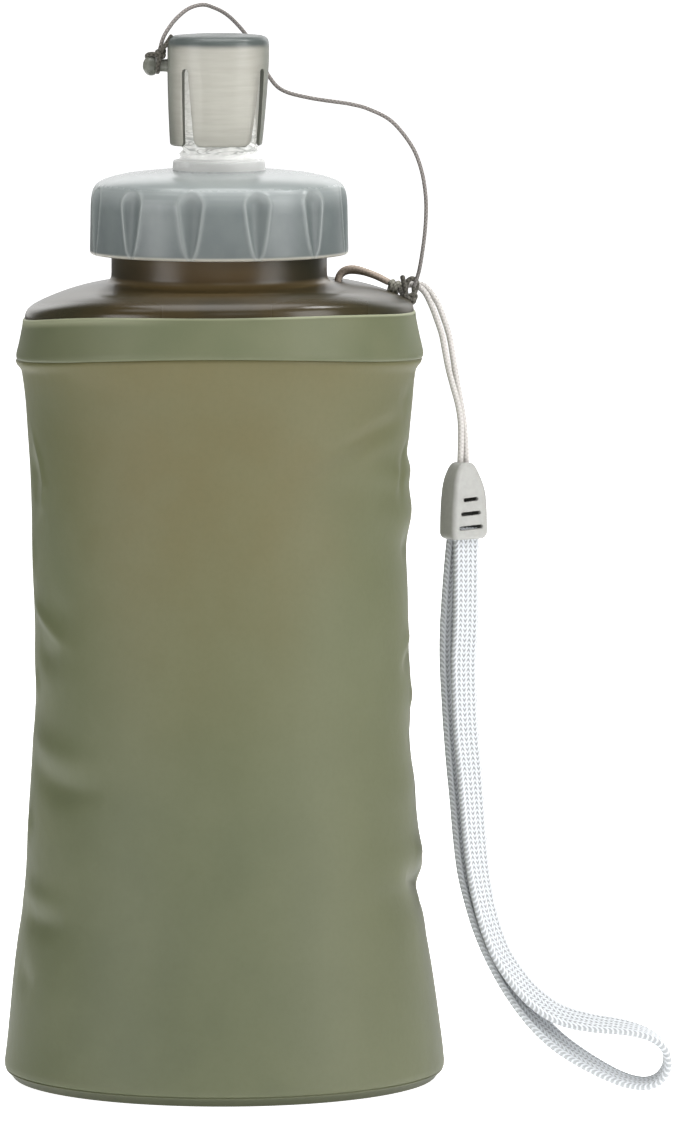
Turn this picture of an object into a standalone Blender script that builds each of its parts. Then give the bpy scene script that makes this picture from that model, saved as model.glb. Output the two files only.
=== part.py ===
"""Collapsible squeeze bottle with a screw cap, a bite valve, a tethered dust cap and a wrist strap.

Units are metres with +Z up.  The origin is on the bottle's axis, on the
surface that it stands on.  The front of the bottle faces -Y.
"""

import math

import bmesh
import bpy
from mathutils import Matrix, Vector

MM = 0.001

# ---------------------------------------------------------------- dimensions (mm)
STEPS = 32                      # facets round every turned piece

# soft bag and its foot
FILM = 0.8                      # wall of the soft bag
FOOT_R = 39.85                  # widest radius, just above the foot
HEM_OUT_R, HEM_IN_R = 38.3, 36.7    # flat ring that the bottle stands on
HEM_H = 2.7
BASE_R, BASE_T, BASE_Z = 36.2, 1.4, 1.0

# moulded shoulder and neck
NECK_R, NECK_BORE_R = 19.55, 17.55
NECK_TOP = 161.0
SHOULDER_R = 35.3
SKIRT_R, SKIRT_IN_R, SKIRT_BOTTOM = 33.6, 32.0, 128.5
BAND_TOP, BAND_BOTTOM = 138.1, 130.8
BAND_IN_R, BAND_TOP_R, BAND_LOW_R = 35.05, 35.6, 36.8
SADDLE = 2.5                    # how far the shoulder's rim rides up in front and behind
SADDLE_LOW, SADDLE_HIGH = 95.0, 128.0   # the bag takes the lift up between these heights
SADDLE_IN_R, SADDLE_OUT_R = 21.5, 32.0  # and the dome between these radii

# thread
PITCH = 4.0
NECK_TURNS, CAP_TURNS = 1.5, 1.25
NECK_RIDGE_Z, NECK_RIDGE_D = 153.7, 0.95
CAP_RIDGE_Z, CAP_RIDGE_D = 151.7, 1.15

# lanyard eye: a tunnel under the skin of the shoulder
EYE = Vector((21.5, 12.9, 144.35))
EYE_BEND_R, EYE_HOLE_R = 2.6, 1.0

# screw cap
CAP_R, CAP_BORE_R = 23.2, 21.2
CAP_BOTTOM, CAP_CEILING, CAP_TOP = 150.4, 162.6, 165.0
CAP_HOLE_R = 5.5
FLUTES, FLUTE_PHASE = 12, 18.0
FLUTE_R, FLUTE_OUT = 3.15, 1.9      # scoop radius, and its axis beyond CAP_R
FLUTE_TOP, FLUTE_TIP = 158.9, 151.2

# gasket, spout and bite valve
GASKET_R, GASKET_IN_R, GASKET_Z, GASKET_T = 20.6, 17.4, 161.3, 1.0
STEM_R, STEM_BORE_R, STEM_TOP = 5.0, 3.4, 174.0
STEM_FLANGE_R = 9.0
VALVE_COLLAR_R, VALVE_R, VALVE_TIP_R = 8.25, 6.95, 6.3
VALVE_BOTTOM, VALVE_TOP = 165.35, 185.2

# dust cap with four tongues and a tether peg
DUST_BOTTOM, DUST_TOP = 169.5, 189.6
DUST_R_TOP, DUST_R_BOTTOM, DUST_WALL = 9.1, 8.35, 1.0
DUST_CEILING = 187.8
TONGUE_SLOT_W, TONGUE_SLOT_TOP = 1.3, 183.5
TONGUE_PHASE = 55.0
PEG_Z, PEG_R, PEG_OUT = 184.0, 0.95, 12.6

# cords
TETHER_D = 0.75
CORD_D = 1.1
WEB_W, WEB_T = 5.4, 1.3

# strap bead
BEAD_AT = Vector((44.2, -0.5, 98.2))
BEAD_TURN = 35.0                # the bead's front faces a little to the right
BEAD_W, BEAD_DEPTH, BEAD_H = 7.1, 4.5, 14.3

# ---------------------------------------------------------------- scene helpers


def clear_scene():
    for obj in list(bpy.data.objects):
        bpy.data.objects.remove(obj, do_unlink=True)
    for block in (bpy.data.meshes, bpy.data.curves, bpy.data.materials):
        for item in list(block):
            if not item.users:
                block.remove(item)


def collection(name):
    found = bpy.data.collections.new(name)
    bpy.context.scene.collection.children.link(found)
    return found


def material(name, colour, roughness, metallic=0.0, alpha=1.0):
    made = bpy.data.materials.new(name)
    made.use_nodes = True
    shader = made.node_tree.nodes["Principled BSDF"]
    shader.inputs["Base Color"].default_value = (*colour, 1.0)
    shader.inputs["Roughness"].default_value = roughness
    shader.inputs["Metallic"].default_value = metallic
    shader.inputs["Alpha"].default_value = alpha
    made.diffuse_color = (*colour, alpha)
    return made


def axis_empty(name, at=(0.0, 0.0, 0.0), parent=None):
    empty = bpy.data.objects.new(name, None)
    empty.empty_display_size = 0.02
    empty.location = Vector(at) * MM
    empty.parent = parent
    PARTS.objects.link(empty)
    return empty


def add(name, data, mat, parent):
    obj = bpy.data.objects.new(name, data)
    PARTS.objects.link(obj)
    data.materials.append(mat)
    if parent is not None:
        obj.parent = parent
        obj.matrix_parent_inverse = parent.matrix_world.inverted()
    return obj


def add_cutter(name, data):
    obj = bpy.data.objects.new(name, data)
    CUTTERS.objects.link(obj)
    obj.hide_render = True
    obj.display_type = "WIRE"
    return obj


def smooth(obj, angle=32.0):
    obj.data.shade_smooth()
    obj.data.set_sharp_from_angle(angle=math.radians(angle))


def profile_mesh(name, points, closed):
    mesh = bpy.data.meshes.new(name)
    count = len(points)
    edges = [(i, i + 1) for i in range(count - 1)]
    if closed:
        edges.append((count - 1, 0))
    mesh.from_pydata([(r * MM, 0.0, z * MM) for r, z in points], edges, [])
    return mesh


def screw(obj, steps=STEPS):
    mod = obj.modifiers.new("Turn", "SCREW")
    mod.axis = "Z"
    mod.angle = 2 * math.pi
    mod.steps = mod.render_steps = steps
    mod.use_merge_vertices = True
    mod.merge_threshold = 0.00001
    mod.use_smooth_shade = True
    return mod


def turned(name, points, mat, parent, steps=STEPS):
    """A turned shape.  A profile that starts and ends on the axis is open, and any other is a closed loop."""
    on_axis = points[0][0] == 0.0
    obj = add(name, profile_mesh(name, points, not on_axis), mat, parent)
    screw(obj, steps)
    return obj


def baked(obj):
    """The evaluated shape of an object as a plain mesh in world space, with doubled points merged."""
    bpy.context.view_layer.update()
    graph = bpy.context.evaluated_depsgraph_get()
    mesh = bpy.data.meshes.new_from_object(obj.evaluated_get(graph))
    mesh.transform(obj.matrix_world)
    work = bmesh.new()
    work.from_mesh(mesh)
    bmesh.ops.remove_doubles(work, verts=work.verts, dist=0.000004)
    bmesh.ops.recalc_face_normals(work, faces=work.faces)
    work.to_mesh(mesh)
    work.free()
    return mesh


def eased(value, low, high):
    t = min(1.0, max(0.0, (value - low) / (high - low)))
    return t * t * (3 - 2 * t)


def saddle(obj):
    """Bakes a turned shape, and lifts its rim in front and behind."""
    mesh = baked(obj)
    for vert in mesh.vertices:
        x, y, z = vert.co / MM
        radius = math.hypot(x, y)
        share = eased(z, SADDLE_LOW, SADDLE_HIGH) * eased(radius, SADDLE_IN_R, SADDLE_OUT_R)
        vert.co.z += SADDLE * MM * share * (y / radius) ** 2
    obj.modifiers.clear()
    obj.data = mesh
    return obj


def boolean(obj, other, operation):
    mod = obj.modifiers.new(operation.title(), "BOOLEAN")
    mod.operation = operation
    mod.object = other
    mod.solver = "EXACT"
    return mod


def route(points, count):
    """Evenly spaced points along a smooth curve through the given ones."""
    given = [Vector(p) for p in points]
    ends = [2 * given[0] - given[1]] + given + [2 * given[-1] - given[-2]]
    dense = []
    for i in range(1, len(ends) - 2):
        p0, p1, p2, p3 = ends[i - 1 : i + 3]
        for k in range(24):
            t = k / 24
            dense.append(
                0.5
                * (
                    2 * p1
                    + (p2 - p0) * t
                    + (2 * p0 - 5 * p1 + 4 * p2 - p3) * t * t
                    + (3 * p1 - p0 - 3 * p2 + p3) * t * t * t
                )
            )
    dense.append(given[-1])
    along = [0.0]
    for a, b in zip(dense, dense[1:]):
        along.append(along[-1] + (b - a).length)
    out, j = [], 0
    for k in range(count):
        want = along[-1] * k / (count - 1)
        while j < len(along) - 2 and along[j + 1] < want:
            j += 1
        span = along[j + 1] - along[j]
        out.append(dense[j].lerp(dense[j + 1], (want - along[j]) / span if span else 0))
    return out


def poly_curve(name, points, radius, resolution=2, cyclic=False):
    curve = bpy.data.curves.new(name, "CURVE")
    curve.dimensions = "3D"
    curve.bevel_depth = radius * MM
    curve.bevel_resolution = resolution
    curve.use_fill_caps = True
    spline = curve.splines.new("POLY")
    spline.points.add(len(points) - 1)
    for point, at in zip(spline.points, points):
        point.co = (*(Vector(at) * MM), 1.0)
    spline.use_cyclic_u = cyclic
    return curve


def tube(name, points, radius, mat, parent):
    return add(name, poly_curve(name, points, radius), mat, parent)


def tube_mesh(name, points, radius, resolution=2, cyclic=False):
    """A tube as a closed mesh, for joining or cutting."""
    curve = poly_curve(name, points, radius, resolution, cyclic)
    guide = bpy.data.objects.new(name + "_guide", curve)
    CUTTERS.objects.link(guide)
    mesh = baked(guide)
    bpy.data.objects.remove(guide)
    mesh.name = name
    return mesh


def joined(name, meshes):
    """Several closed meshes that don't touch, as one mesh, for cutting with."""
    work = bmesh.new()
    for mesh in meshes:
        work.from_mesh(mesh)
    mesh = bpy.data.meshes.new(name)
    work.to_mesh(mesh)
    work.free()
    return mesh


def ball(centre, radii, turn=0.0, segments=16, rings=10):
    work = bmesh.new()
    bmesh.ops.create_uvsphere(work, u_segments=segments, v_segments=rings, radius=1.0)
    place = (
        Matrix.Translation(Vector(centre) * MM)
        @ Matrix.Rotation(math.radians(turn), 4, "Z")
        @ Matrix.Diagonal((*[r * MM for r in radii], 1.0))
    )
    bmesh.ops.transform(work, matrix=place, verts=work.verts)
    mesh = bpy.data.meshes.new("ball")
    work.to_mesh(mesh)
    work.free()
    return mesh


def block(size, place):
    work = bmesh.new()
    bmesh.ops.create_cube(work, size=1.0)
    bmesh.ops.transform(work, matrix=place @ Matrix.Diagonal((*[s * MM for s in size], 1.0)), verts=work.verts)
    mesh = bpy.data.meshes.new("block")
    work.to_mesh(mesh)
    work.free()
    return mesh


def helix(radius, start_z, turns, start_turn, per_turn=30):
    """Points along one start of the thread, from start_z up."""
    count = int(turns * per_turn) + 1
    out = []
    for k in range(count):
        turn = turns * k / (count - 1)
        angle = 2 * math.pi * (start_turn + turn)
        out.append((radius * math.cos(angle), radius * math.sin(angle), start_z + PITCH * turn))
    return out


# ---------------------------------------------------------------- scene

clear_scene()
PARTS = collection("collapsible_water_bottle")
CUTTERS = collection("cutters")

OLIVE = material("bag_olive", (0.185, 0.195, 0.115), 0.55, alpha=0.95)
BAND = material("band_olive", (0.150, 0.160, 0.095), 0.60)
DARK = material("shoulder_olive", (0.095, 0.080, 0.050), 0.28, alpha=0.95)
GREY = material("cap_grey", (0.300, 0.340, 0.345), 0.38)
SMOKE = material("smoke_grey", (0.280, 0.290, 0.270), 0.45, alpha=0.8)
CLEAR = material("clear_silicone", (0.850, 0.860, 0.840), 0.15, alpha=0.4)
SEAL = material("seal_white", (0.700, 0.700, 0.680), 0.50)
WHITE = material("stem_white", (0.750, 0.750, 0.730), 0.40)
ELASTIC = material("tether_grey", (0.160, 0.140, 0.135), 0.70)
CORD = material("cord_beige", (0.620, 0.570, 0.520), 0.75)
BEAD = material("bead_grey", (0.440, 0.435, 0.405), 0.40)
WEB = material("webbing_white", (0.780, 0.800, 0.810), 0.85)

MAIN = axis_empty("bottle_axis")
RISE = axis_empty("cap_rise_axis", parent=MAIN)
TURN = axis_empty("cap_turn_axis", parent=RISE)
PULL = axis_empty("dust_cap_axis", parent=RISE)
FLOOR = axis_empty("base_axis", parent=MAIN)
bpy.context.view_layer.update()

# ---------------------------------------------------------------- soft bag
BAG_OUTSIDE = [
    (34.70, 137.6), (34.70, 131.4), (35.35, 130.3), (35.95, 129.3), (35.80, 127.4),
    (35.40, 124.4), (34.95, 120.0), (34.50, 115.5), (34.25, 106.0), (34.10, 95.0),
    (34.10, 80.0), (34.25, 68.0), (34.80, 55.0), (35.60, 42.0), (36.35, 32.0),
    (37.30, 24.0), (38.35, 16.0), (39.25, 9.0), (FOOT_R, 4.0), (39.70, 2.3),
    (39.20, 1.0), (HEM_OUT_R, 0.0),
]
bag_inside = [(r - FILM, z) for i, (r, z) in enumerate(BAG_OUTSIDE) if z > 5.0 and (z > 120.0 or i % 2 == 1)]
bag_profile = BAG_OUTSIDE + [(HEM_IN_R, 0.0), (HEM_IN_R, HEM_H), (38.1, 4.6)] + bag_inside[::-1]
saddle(turned("bag_wall", bag_profile, OLIVE, MAIN))

# a flat disc closes the bag's bottom, a little above the foot's ring
turned(
    "base_disc",
    [(0.0, BASE_Z + BASE_T + 0.5), (14.0, BASE_Z + BASE_T + 0.3), (30.0, BASE_Z + BASE_T), (BASE_R, BASE_Z + BASE_T),
     (BASE_R, BASE_Z), (30.0, BASE_Z), (14.0, BASE_Z + 0.3), (0.0, BASE_Z + 0.5)],
    OLIVE, FLOOR,
)

# ---------------------------------------------------------------- shoulder and neck
shoulder_profile = [
    (NECK_BORE_R + 0.4, NECK_TOP), (NECK_R - 0.4, NECK_TOP), (NECK_R, NECK_TOP - 0.5),
    (NECK_R, 146.3), (19.75, 145.6), (20.5, 145.15), (23.3, 144.7), (26.9, 143.8),
    (29.6, 142.9), (32.0, 142.0), (33.6, 141.25), (34.6, 140.35), (35.15, 139.5),
    (SHOULDER_R, 138.9), (SHOULDER_R, 138.45), (SKIRT_R, 138.4), (SKIRT_R, SKIRT_BOTTOM),
    (SKIRT_IN_R, SKIRT_BOTTOM), (SKIRT_IN_R, 138.2), (31.2, 139.9), (28.8, 141.2),
    (26.0, 142.1), (22.6, 142.9), (18.6, 143.4), (NECK_BORE_R, 144.3),
    (NECK_BORE_R, NECK_TOP - 0.4),
]
shoulder = saddle(turned("shoulder", shoulder_profile, DARK, MAIN))
boolean(
    shoulder,
    add_cutter("neck_ridge", tube_mesh("neck_ridge", helix(NECK_R, NECK_RIDGE_Z, NECK_TURNS, 0.014), NECK_RIDGE_D)),
    "UNION",
)
# the eye's boss under the dome, and the tunnel through it
eye_turn = Matrix.Translation(Vector((EYE.x, EYE.y, 141.0)) * MM)
boolean(shoulder, add_cutter("eye_boss", block((5.0, 9.6, 3.6), eye_turn)), "UNION")
eye_ring = [
    (EYE.x, EYE.y + EYE_BEND_R * math.cos(a), EYE.z + EYE_BEND_R * math.sin(a))
    for a in (2 * math.pi * k / 20 for k in range(20))
]
boolean(
    shoulder,
    add_cutter("eye_tunnel", tube_mesh("eye_tunnel", eye_ring, EYE_HOLE_R, 2, cyclic=True)),
    "DIFFERENCE",
)

# the conical band that grips the bag's edge round the shoulder's skirt
saddle(turned(
    "weld_band",
    [(BAND_IN_R, BAND_TOP), (BAND_TOP_R, BAND_TOP), (35.95, 136.3), (36.35, 134.4), (BAND_LOW_R, 132.4),
     (BAND_LOW_R, 131.5), (36.5, BAND_BOTTOM), (BAND_IN_R, BAND_BOTTOM)],
    BAND, MAIN,
))

# ---------------------------------------------------------------- screw cap
cap_profile = [
    (CAP_HOLE_R, CAP_TOP + 0.05), (8.7, CAP_TOP), (13.0, 164.75), (18.0, 164.3), (21.2, 163.8),
    (22.4, 163.25), (23.0, 162.4), (CAP_R, 161.3), (CAP_R, 151.1), (22.9, CAP_BOTTOM),
    (CAP_BORE_R, CAP_BOTTOM), (CAP_BORE_R, CAP_CEILING), (CAP_HOLE_R, CAP_CEILING),
]
screw_cap = turned("screw_cap", cap_profile, GREY, TURN, steps=36)
boolean(
    screw_cap,
    add_cutter("cap_ridge", tube_mesh("cap_ridge", helix(CAP_BORE_R + 0.05, CAP_RIDGE_Z, CAP_TURNS, 0.006, 29), CAP_RIDGE_D)),
    "UNION",
)


def scoop():
    """A teardrop, round at the top and pointed at the bottom, whose side cuts one flute."""
    points = [(0.0, FLUTE_TOP + FLUTE_R)]
    points += [
        (FLUTE_R * math.sin(a), FLUTE_TOP + FLUTE_R * math.cos(a))
        for a in (math.radians(22.5 * k) for k in (1, 2, 3, 4))
    ]
    points += [(FLUTE_OUT, FLUTE_TIP), (0.0, FLUTE_TIP - 3.0)]
    guide = bpy.data.objects.new("scoop_guide", profile_mesh("scoop_guide", points, False))
    CUTTERS.objects.link(guide)
    screw(guide, 16)
    mesh = baked(guide)
    bpy.data.objects.remove(guide)
    return mesh


scoops = []
for k in range(FLUTES):
    angle = math.radians(FLUTE_PHASE + 360.0 / FLUTES * k - 90.0)
    mesh = scoop()
    out = (CAP_R + FLUTE_OUT) * MM
    mesh.transform(
        Matrix.Translation((out * math.cos(angle), out * math.sin(angle), 0.0)) @ Matrix.Rotation(angle, 4, "Z")
    )
    scoops.append(mesh)
boolean(screw_cap, add_cutter("flutes", joined("flutes", scoops)), "DIFFERENCE")

turned(
    "cap_gasket",
    [(GASKET_IN_R, GASKET_Z + GASKET_T), (GASKET_R, GASKET_Z + GASKET_T), (GASKET_R, GASKET_Z), (GASKET_IN_R, GASKET_Z)],
    SEAL, RISE,
)

# ---------------------------------------------------------------- spout
turned(
    "spout_stem",
    [(STEM_BORE_R, STEM_TOP), (4.3, STEM_TOP), (5.15, 172.2), (STEM_R, 171.8), (STEM_R, CAP_CEILING - 0.3),
     (STEM_FLANGE_R, CAP_CEILING - 0.3), (STEM_FLANGE_R, CAP_CEILING - 1.3), (STEM_BORE_R, CAP_CEILING - 1.3)],
    WHITE, TURN, steps=24,
)
valve = turned(
    "bite_valve",
    [(0.0, VALVE_TOP), (3.5, VALVE_TOP - 0.1), (5.3, VALVE_TOP - 0.8), (VALVE_TIP_R, VALVE_TOP - 2.4),
     (VALVE_TIP_R + 0.2, 176.0), (VALVE_R, 171.0), (VALVE_R, 167.6), (VALVE_COLLAR_R - 0.3, 167.3),
     (VALVE_COLLAR_R, 166.9), (VALVE_COLLAR_R, 165.6), (VALVE_COLLAR_R - 0.3, VALVE_BOTTOM),
     (STEM_R + 0.45, VALVE_BOTTOM), (STEM_R + 0.45, 174.6), (4.7, 175.4), (4.7, 183.2), (0.0, 183.8)],
    CLEAR, TURN, steps=24,
)
boolean(
    valve,
    add_cutter("valve_slit", block((6.0, 0.5, 4.0), Matrix.Translation((0.0, 0.0, 184.5 * MM)))),
    "DIFFERENCE",
)

# ---------------------------------------------------------------- dust cap
dust_cap = turned(
    "dust_cap",
    [(0.0, DUST_TOP), (5.0, DUST_TOP - 0.08), (8.1, DUST_TOP - 0.45), (8.8, DUST_TOP - 1.0), (DUST_R_TOP, 187.6),
     (DUST_R_TOP - 0.08, 182.0), (8.75, 176.0), (DUST_R_BOTTOM, DUST_BOTTOM + 0.3), (DUST_R_BOTTOM - 0.3, DUST_BOTTOM),
     (DUST_R_BOTTOM - 0.9, DUST_BOTTOM), (DUST_R_BOTTOM - DUST_WALL, DUST_BOTTOM + 0.3), (7.75, 176.0),
     (8.0, 182.0), (8.05, DUST_CEILING - 0.5), (7.6, DUST_CEILING), (0.0, DUST_CEILING)],
    SMOKE, PULL, steps=32,
)
peg = tube_mesh("peg_stalk", [(-8.4, 0.0, PEG_Z), (-10.0, 0.0, PEG_Z), (-12.4, 0.0, PEG_Z)], PEG_R, 3)
boolean(dust_cap, add_cutter("peg_stalk", peg), "UNION")
boolean(dust_cap, add_cutter("peg_ball", ball((-PEG_OUT, 0.0, PEG_Z + 0.1), (1.25, 1.4, 1.85))), "UNION")
slots = []
for k in range(2):
    turn = Matrix.Rotation(math.radians(TONGUE_PHASE - 90.0 + 90.0 * k), 4, "Z")
    tall = TONGUE_SLOT_TOP - DUST_BOTTOM + 1.0
    middle = Matrix.Translation((0.0, 0.0, (TONGUE_SLOT_TOP - tall / 2) * MM))
    for side in (-1, 1):
        arm = Matrix.Translation((side * 9.0 * MM, 0.0, 0.0))
        slots.append(block((6.0, TONGUE_SLOT_W, tall), turn @ middle @ arm))
boolean(dust_cap, add_cutter("tongue_slots", joined("tongue_slots", slots)), "DIFFERENCE")

# ---------------------------------------------------------------- tether
TETHER_UPPER = [
    (-10.6, 0.3, 187.7), (-10.1, 0.5, 189.4), (-9.2, 1.0, 191.0), (-7.7, 2.2, 192.9), (-5.5, 4.0, 194.6),
    (-3.0, 6.0, 195.2), (-0.8, 8.0, 194.5), (1.4, 9.8, 193.2), (3.5, 11.3, 191.1), (5.3, 12.0, 188.8), (7.0, 11.6, 186.0),
]
TETHER_LOWER = [
    (7.2, 11.5, 185.7), (9.0, 10.2, 182.0), (11.5, 9.4, 179.5), (16.6, 9.0, 178.1), (23.9, 9.0, 177.0), (27.6, 9.0, 175.9),
    (31.4, 8.8, 173.8), (34.9, 8.4, 169.5), (36.7, 8.0, 165.1), (37.5, 7.5, 160.2), (37.5, 6.8, 156.0),
    (37.1, 6.2, 151.8), (36.3, 5.3, 147.0), (35.3, 4.4, 143.9),
]
tube("tether_cord_upper", route(TETHER_UPPER, 20), TETHER_D / 2, ELASTIC, PULL)
tube("tether_cord_lower", route(TETHER_LOWER, 32), TETHER_D / 2, ELASTIC, MAIN)

# the upper end is a loop round the peg's stalk with a knot on top of it
peg_loop = [
    (-10.4, 1.62 * math.cos(a), PEG_Z + 1.62 * math.sin(a)) for a in (2 * math.pi * k / 14 for k in range(14))
]
knot_upper = add("tether_knot_upper", tube_mesh("peg_loop", peg_loop, TETHER_D / 2, 2, cyclic=True), ELASTIC, PULL)
boolean(knot_upper, add_cutter("knot_lump", ball((-10.5, 0.0, 186.4), (0.8, 0.9, 0.95), segments=12, rings=8)), "UNION")
add("tether_knot_lower", ball((34.6, 4.1, 142.2), (1.3, 1.0, 1.1), segments=14, rings=8), ELASTIC, MAIN)

# ---------------------------------------------------------------- wrist strap
# one cord goes down the front hole of the eye, under the bridge and up the rear hole
EYE_FRONT, EYE_BACK = EYE.y - EYE_BEND_R, EYE.y + EYE_BEND_R
CORD_EYE = [
    (30.6, 6.6, 144.6), (28.9, 7.6, 145.3), (26.6, 8.7, 146.1), (24.6, 9.5, 146.8), (22.9, 10.0, 146.7),
    (21.8, EYE_FRONT, 145.8), (21.5, EYE_FRONT, 144.4), (21.5, EYE.y - 1.9, 142.6), (21.5, EYE.y, 141.8),
    (21.5, EYE.y + 1.9, 142.6), (21.5, EYE_BACK, 144.4), (21.9, 15.2, 146.0), (23.2, 14.4, 147.2), (25.4, 12.8, 147.1),
    (28.0, 10.4, 146.1), (30.6, 8.4, 144.8),
]
tube("strap_cord_loop", route(CORD_EYE, 30), CORD_D / 2, CORD, MAIN)
add("strap_hitch", ball((33.1, 7.3, 143.8), (2.0, 1.5, 1.6), segments=14, rings=8), CORD, MAIN)
CORD_INNER = [
    (35.6, 6.3, 144.2), (37.2, 5.6, 143.1), (38.4, 5.0, 140.9), (39.4, 4.3, 138.1), (40.1, 3.6, 135.0),
    (40.5, 2.9, 131.7), (41.0, 2.3, 128.9), (41.6, 1.8, 126.2), (42.3, 1.2, 122.8), (43.0, 0.5, 119.2),
    (43.5, -0.2, 115.6), (43.6, -0.6, 112.9),
]
CORD_OUTER = [
    (35.6, 8.0, 144.5), (37.6, 7.6, 143.7), (39.5, 6.8, 141.2), (40.7, 6.1, 138.1), (41.5, 5.3, 134.9),
    (42.0, 4.6, 131.6), (42.4, 3.9, 128.8), (42.8, 3.3, 126.1), (43.5, 2.5, 122.7), (44.2, 1.7, 119.1),
    (44.6, 0.8, 115.5), (44.7, 0.3, 112.9),
]
tube("strap_cord_inner", route(CORD_INNER, 16), CORD_D / 2, CORD, MAIN)
tube("strap_cord_outer", route(CORD_OUTER, 16), CORD_D / 2, CORD, MAIN)

# the bead is two half shells round the ends of the webbing
bead_frame = Matrix.Translation(BEAD_AT * MM) @ Matrix.Rotation(math.radians(BEAD_TURN), 4, "Z")


def bead_outline():
    """Half widths going up: a rounded foot, slightly tapered sides and a round arch."""
    half = BEAD_W / 2
    right = [(half - 0.9, 0.0), (half - 0.25, 0.25), (half, 0.9), (half - 0.05, 3.5), (half - 0.3, 6.5)]
    spring = 7.6
    arch_w, arch_h = half - 0.42, BEAD_H - spring
    right += [
        (arch_w * math.cos(a) ** 0.9, spring + arch_h * math.sin(a))
        for a in (math.radians(d) for d in (0, 20, 38, 54, 68))
    ]
    right += [(0.75, BEAD_H - 0.02)]
    return right + [(-x, z) for x, z in reversed(right)]


def bead_half(name, side):
    """One half shell: the outline pushed out from the parting plane, with softened edges."""
    curve = bpy.data.curves.new(name, "CURVE")
    curve.dimensions = "2D"
    curve.fill_mode = "BOTH"
    depth = BEAD_DEPTH / 2 - 0.15
    curve.extrude = depth / 2 * MM
    spline = curve.splines.new("POLY")
    outline = bead_outline()
    spline.points.add(len(outline) - 1)
    for point, (x, z) in zip(spline.points, outline):
        point.co = (x * MM, z * MM, 0.0, 1.0)
    spline.use_cyclic_u = True
    guide = bpy.data.objects.new(name + "_guide", curve)
    CUTTERS.objects.link(guide)
    guide.matrix_world = (
        bead_frame
        @ Matrix.Translation((0.0, side * (0.15 + depth / 2) * MM, 0.0))
        @ Matrix.Rotation(math.radians(90.0), 4, "X")
    )
    mesh = baked(guide)
    bpy.data.objects.remove(guide)
    mesh.name = name
    half = add(name, mesh, BEAD, MAIN)
    cavity = block((5.9, 3.2, 9.6), bead_frame @ Matrix.Translation((0.0, 0.0, 4.3 * MM)))
    boolean(half, add_cutter(name + "_cavity", cavity), "DIFFERENCE")
    cuts = [
        block((width, 3.0, 0.55), bead_frame @ Matrix.Translation((0.0, side * 2.6 * MM, height * MM)))
        for width, height in ((2.6, 7.6), (3.5, 4.9), (4.2, 2.2))
    ]
    boolean(half, add_cutter(name + "_slots", joined(name + "_slots", cuts)), "DIFFERENCE")
    hole = tube_mesh(name + "_cord_hole", [bead_frame @ Vector((x * MM, 0, z * MM)) / MM for x, z in ((0, 8.0), (0, 16.0))], 1.25, 3)
    boolean(half, add_cutter(name + "_hole", hole), "DIFFERENCE")
    return half


bead_half("strap_bead_front", -1)
bead_half("strap_bead_back", 1)

# the webbing is one flat band: down in front, round the end on the ground and up behind.
# Each row is x, y, z and the angle between the band's width and the picture plane.
WEBBING = [
    (44.8, -1.3, 97.8, 35), (44.8, -1.7, 92.4, 35), (44.7, -2.5, 83.5, 35), (44.4, -3.2, 76.6, 35),
    (44.5, -4.0, 70.2, 35), (44.8, -4.8, 63.7, 35), (45.4, -5.8, 57.3, 36), (45.9, -6.8, 50.9, 38),
    (46.4, -7.9, 44.5, 41), (47.1, -9.1, 38.1, 45), (48.1, -10.2, 32.7, 50), (49.3, -11.1, 28.5, 53),
    (51.2, -12.1, 23.9, 55), (53.9, -13.0, 19.8, 56), (56.8, -13.8, 16.6, 57), (60.0, -14.6, 14.2, 58),
    (63.2, -15.2, 12.8, 61), (67.6, -16.0, 11.9, 66), (72.8, -16.6, 11.3, 74), (76.6, -16.9, 10.4, 82),
    (79.4, -17.0, 8.9, 88), (80.9, -17.0, 6.8, 91), (81.1, -17.0, 4.4, 94), (80.0, -17.0, 2.3, 96),
    (78.1, -17.0, 1.2, 98), (75.8, -16.9, 1.1, 100), (72.7, -16.8, 1.9, 104), (69.0, -16.4, 3.6, 109),
    (64.9, -15.6, 5.9, 115), (60.9, -14.5, 8.7, 120), (57.0, -13.1, 12.5, 123), (53.3, -11.5, 17.5, 125),
    (50.3, -10.1, 22.8, 127), (48.0, -8.8, 28.2, 130), (46.4, -7.5, 33.6, 134), (45.3, -6.4, 38.6, 138),
    (44.6, -5.1, 44.7, 141), (44.1, -3.9, 51.0, 143), (43.5, -2.8, 57.4, 144), (43.0, -1.7, 63.8, 145),
    (42.6, -0.9, 70.2, 145), (42.3, -0.4, 76.6, 145), (42.4, 0.1, 83.4, 145), (43.0, 0.4, 92.2, 145),
    (43.5, 0.5, 97.8, 145),
]


def webbing_sections(count):
    """Centre, width and thickness directions along the band."""
    centres = route([row[:3] for row in WEBBING], count)
    along = [0.0]
    for a, b in zip(WEBBING, WEBBING[1:]):
        along.append(along[-1] + (Vector(b[:3]) - Vector(a[:3])).length)
    out = []
    for k, centre in enumerate(centres):
        ahead, behind = centres[min(k + 1, count - 1)], centres[max(k - 1, 0)]
        run = (ahead - behind).normalized()
        where = along[-1] * k / (count - 1)
        j = max(i for i in range(len(along) - 1) if along[i] <= where + 1e-9)
        t = min(1.0, (where - along[j]) / (along[j + 1] - along[j]))
        angle = math.radians(WEBBING[j][3] * (1 - t) + WEBBING[j + 1][3] * t)
        side = Vector((-run.z, 0.0, run.x)).normalized()
        wide = math.cos(angle) * side + math.sin(angle) * Vector((0, 1, 0))
        wide = (wide - wide.dot(run) * run).normalized()
        out.append((centre, wide, run.cross(wide)))
    return out


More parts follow.
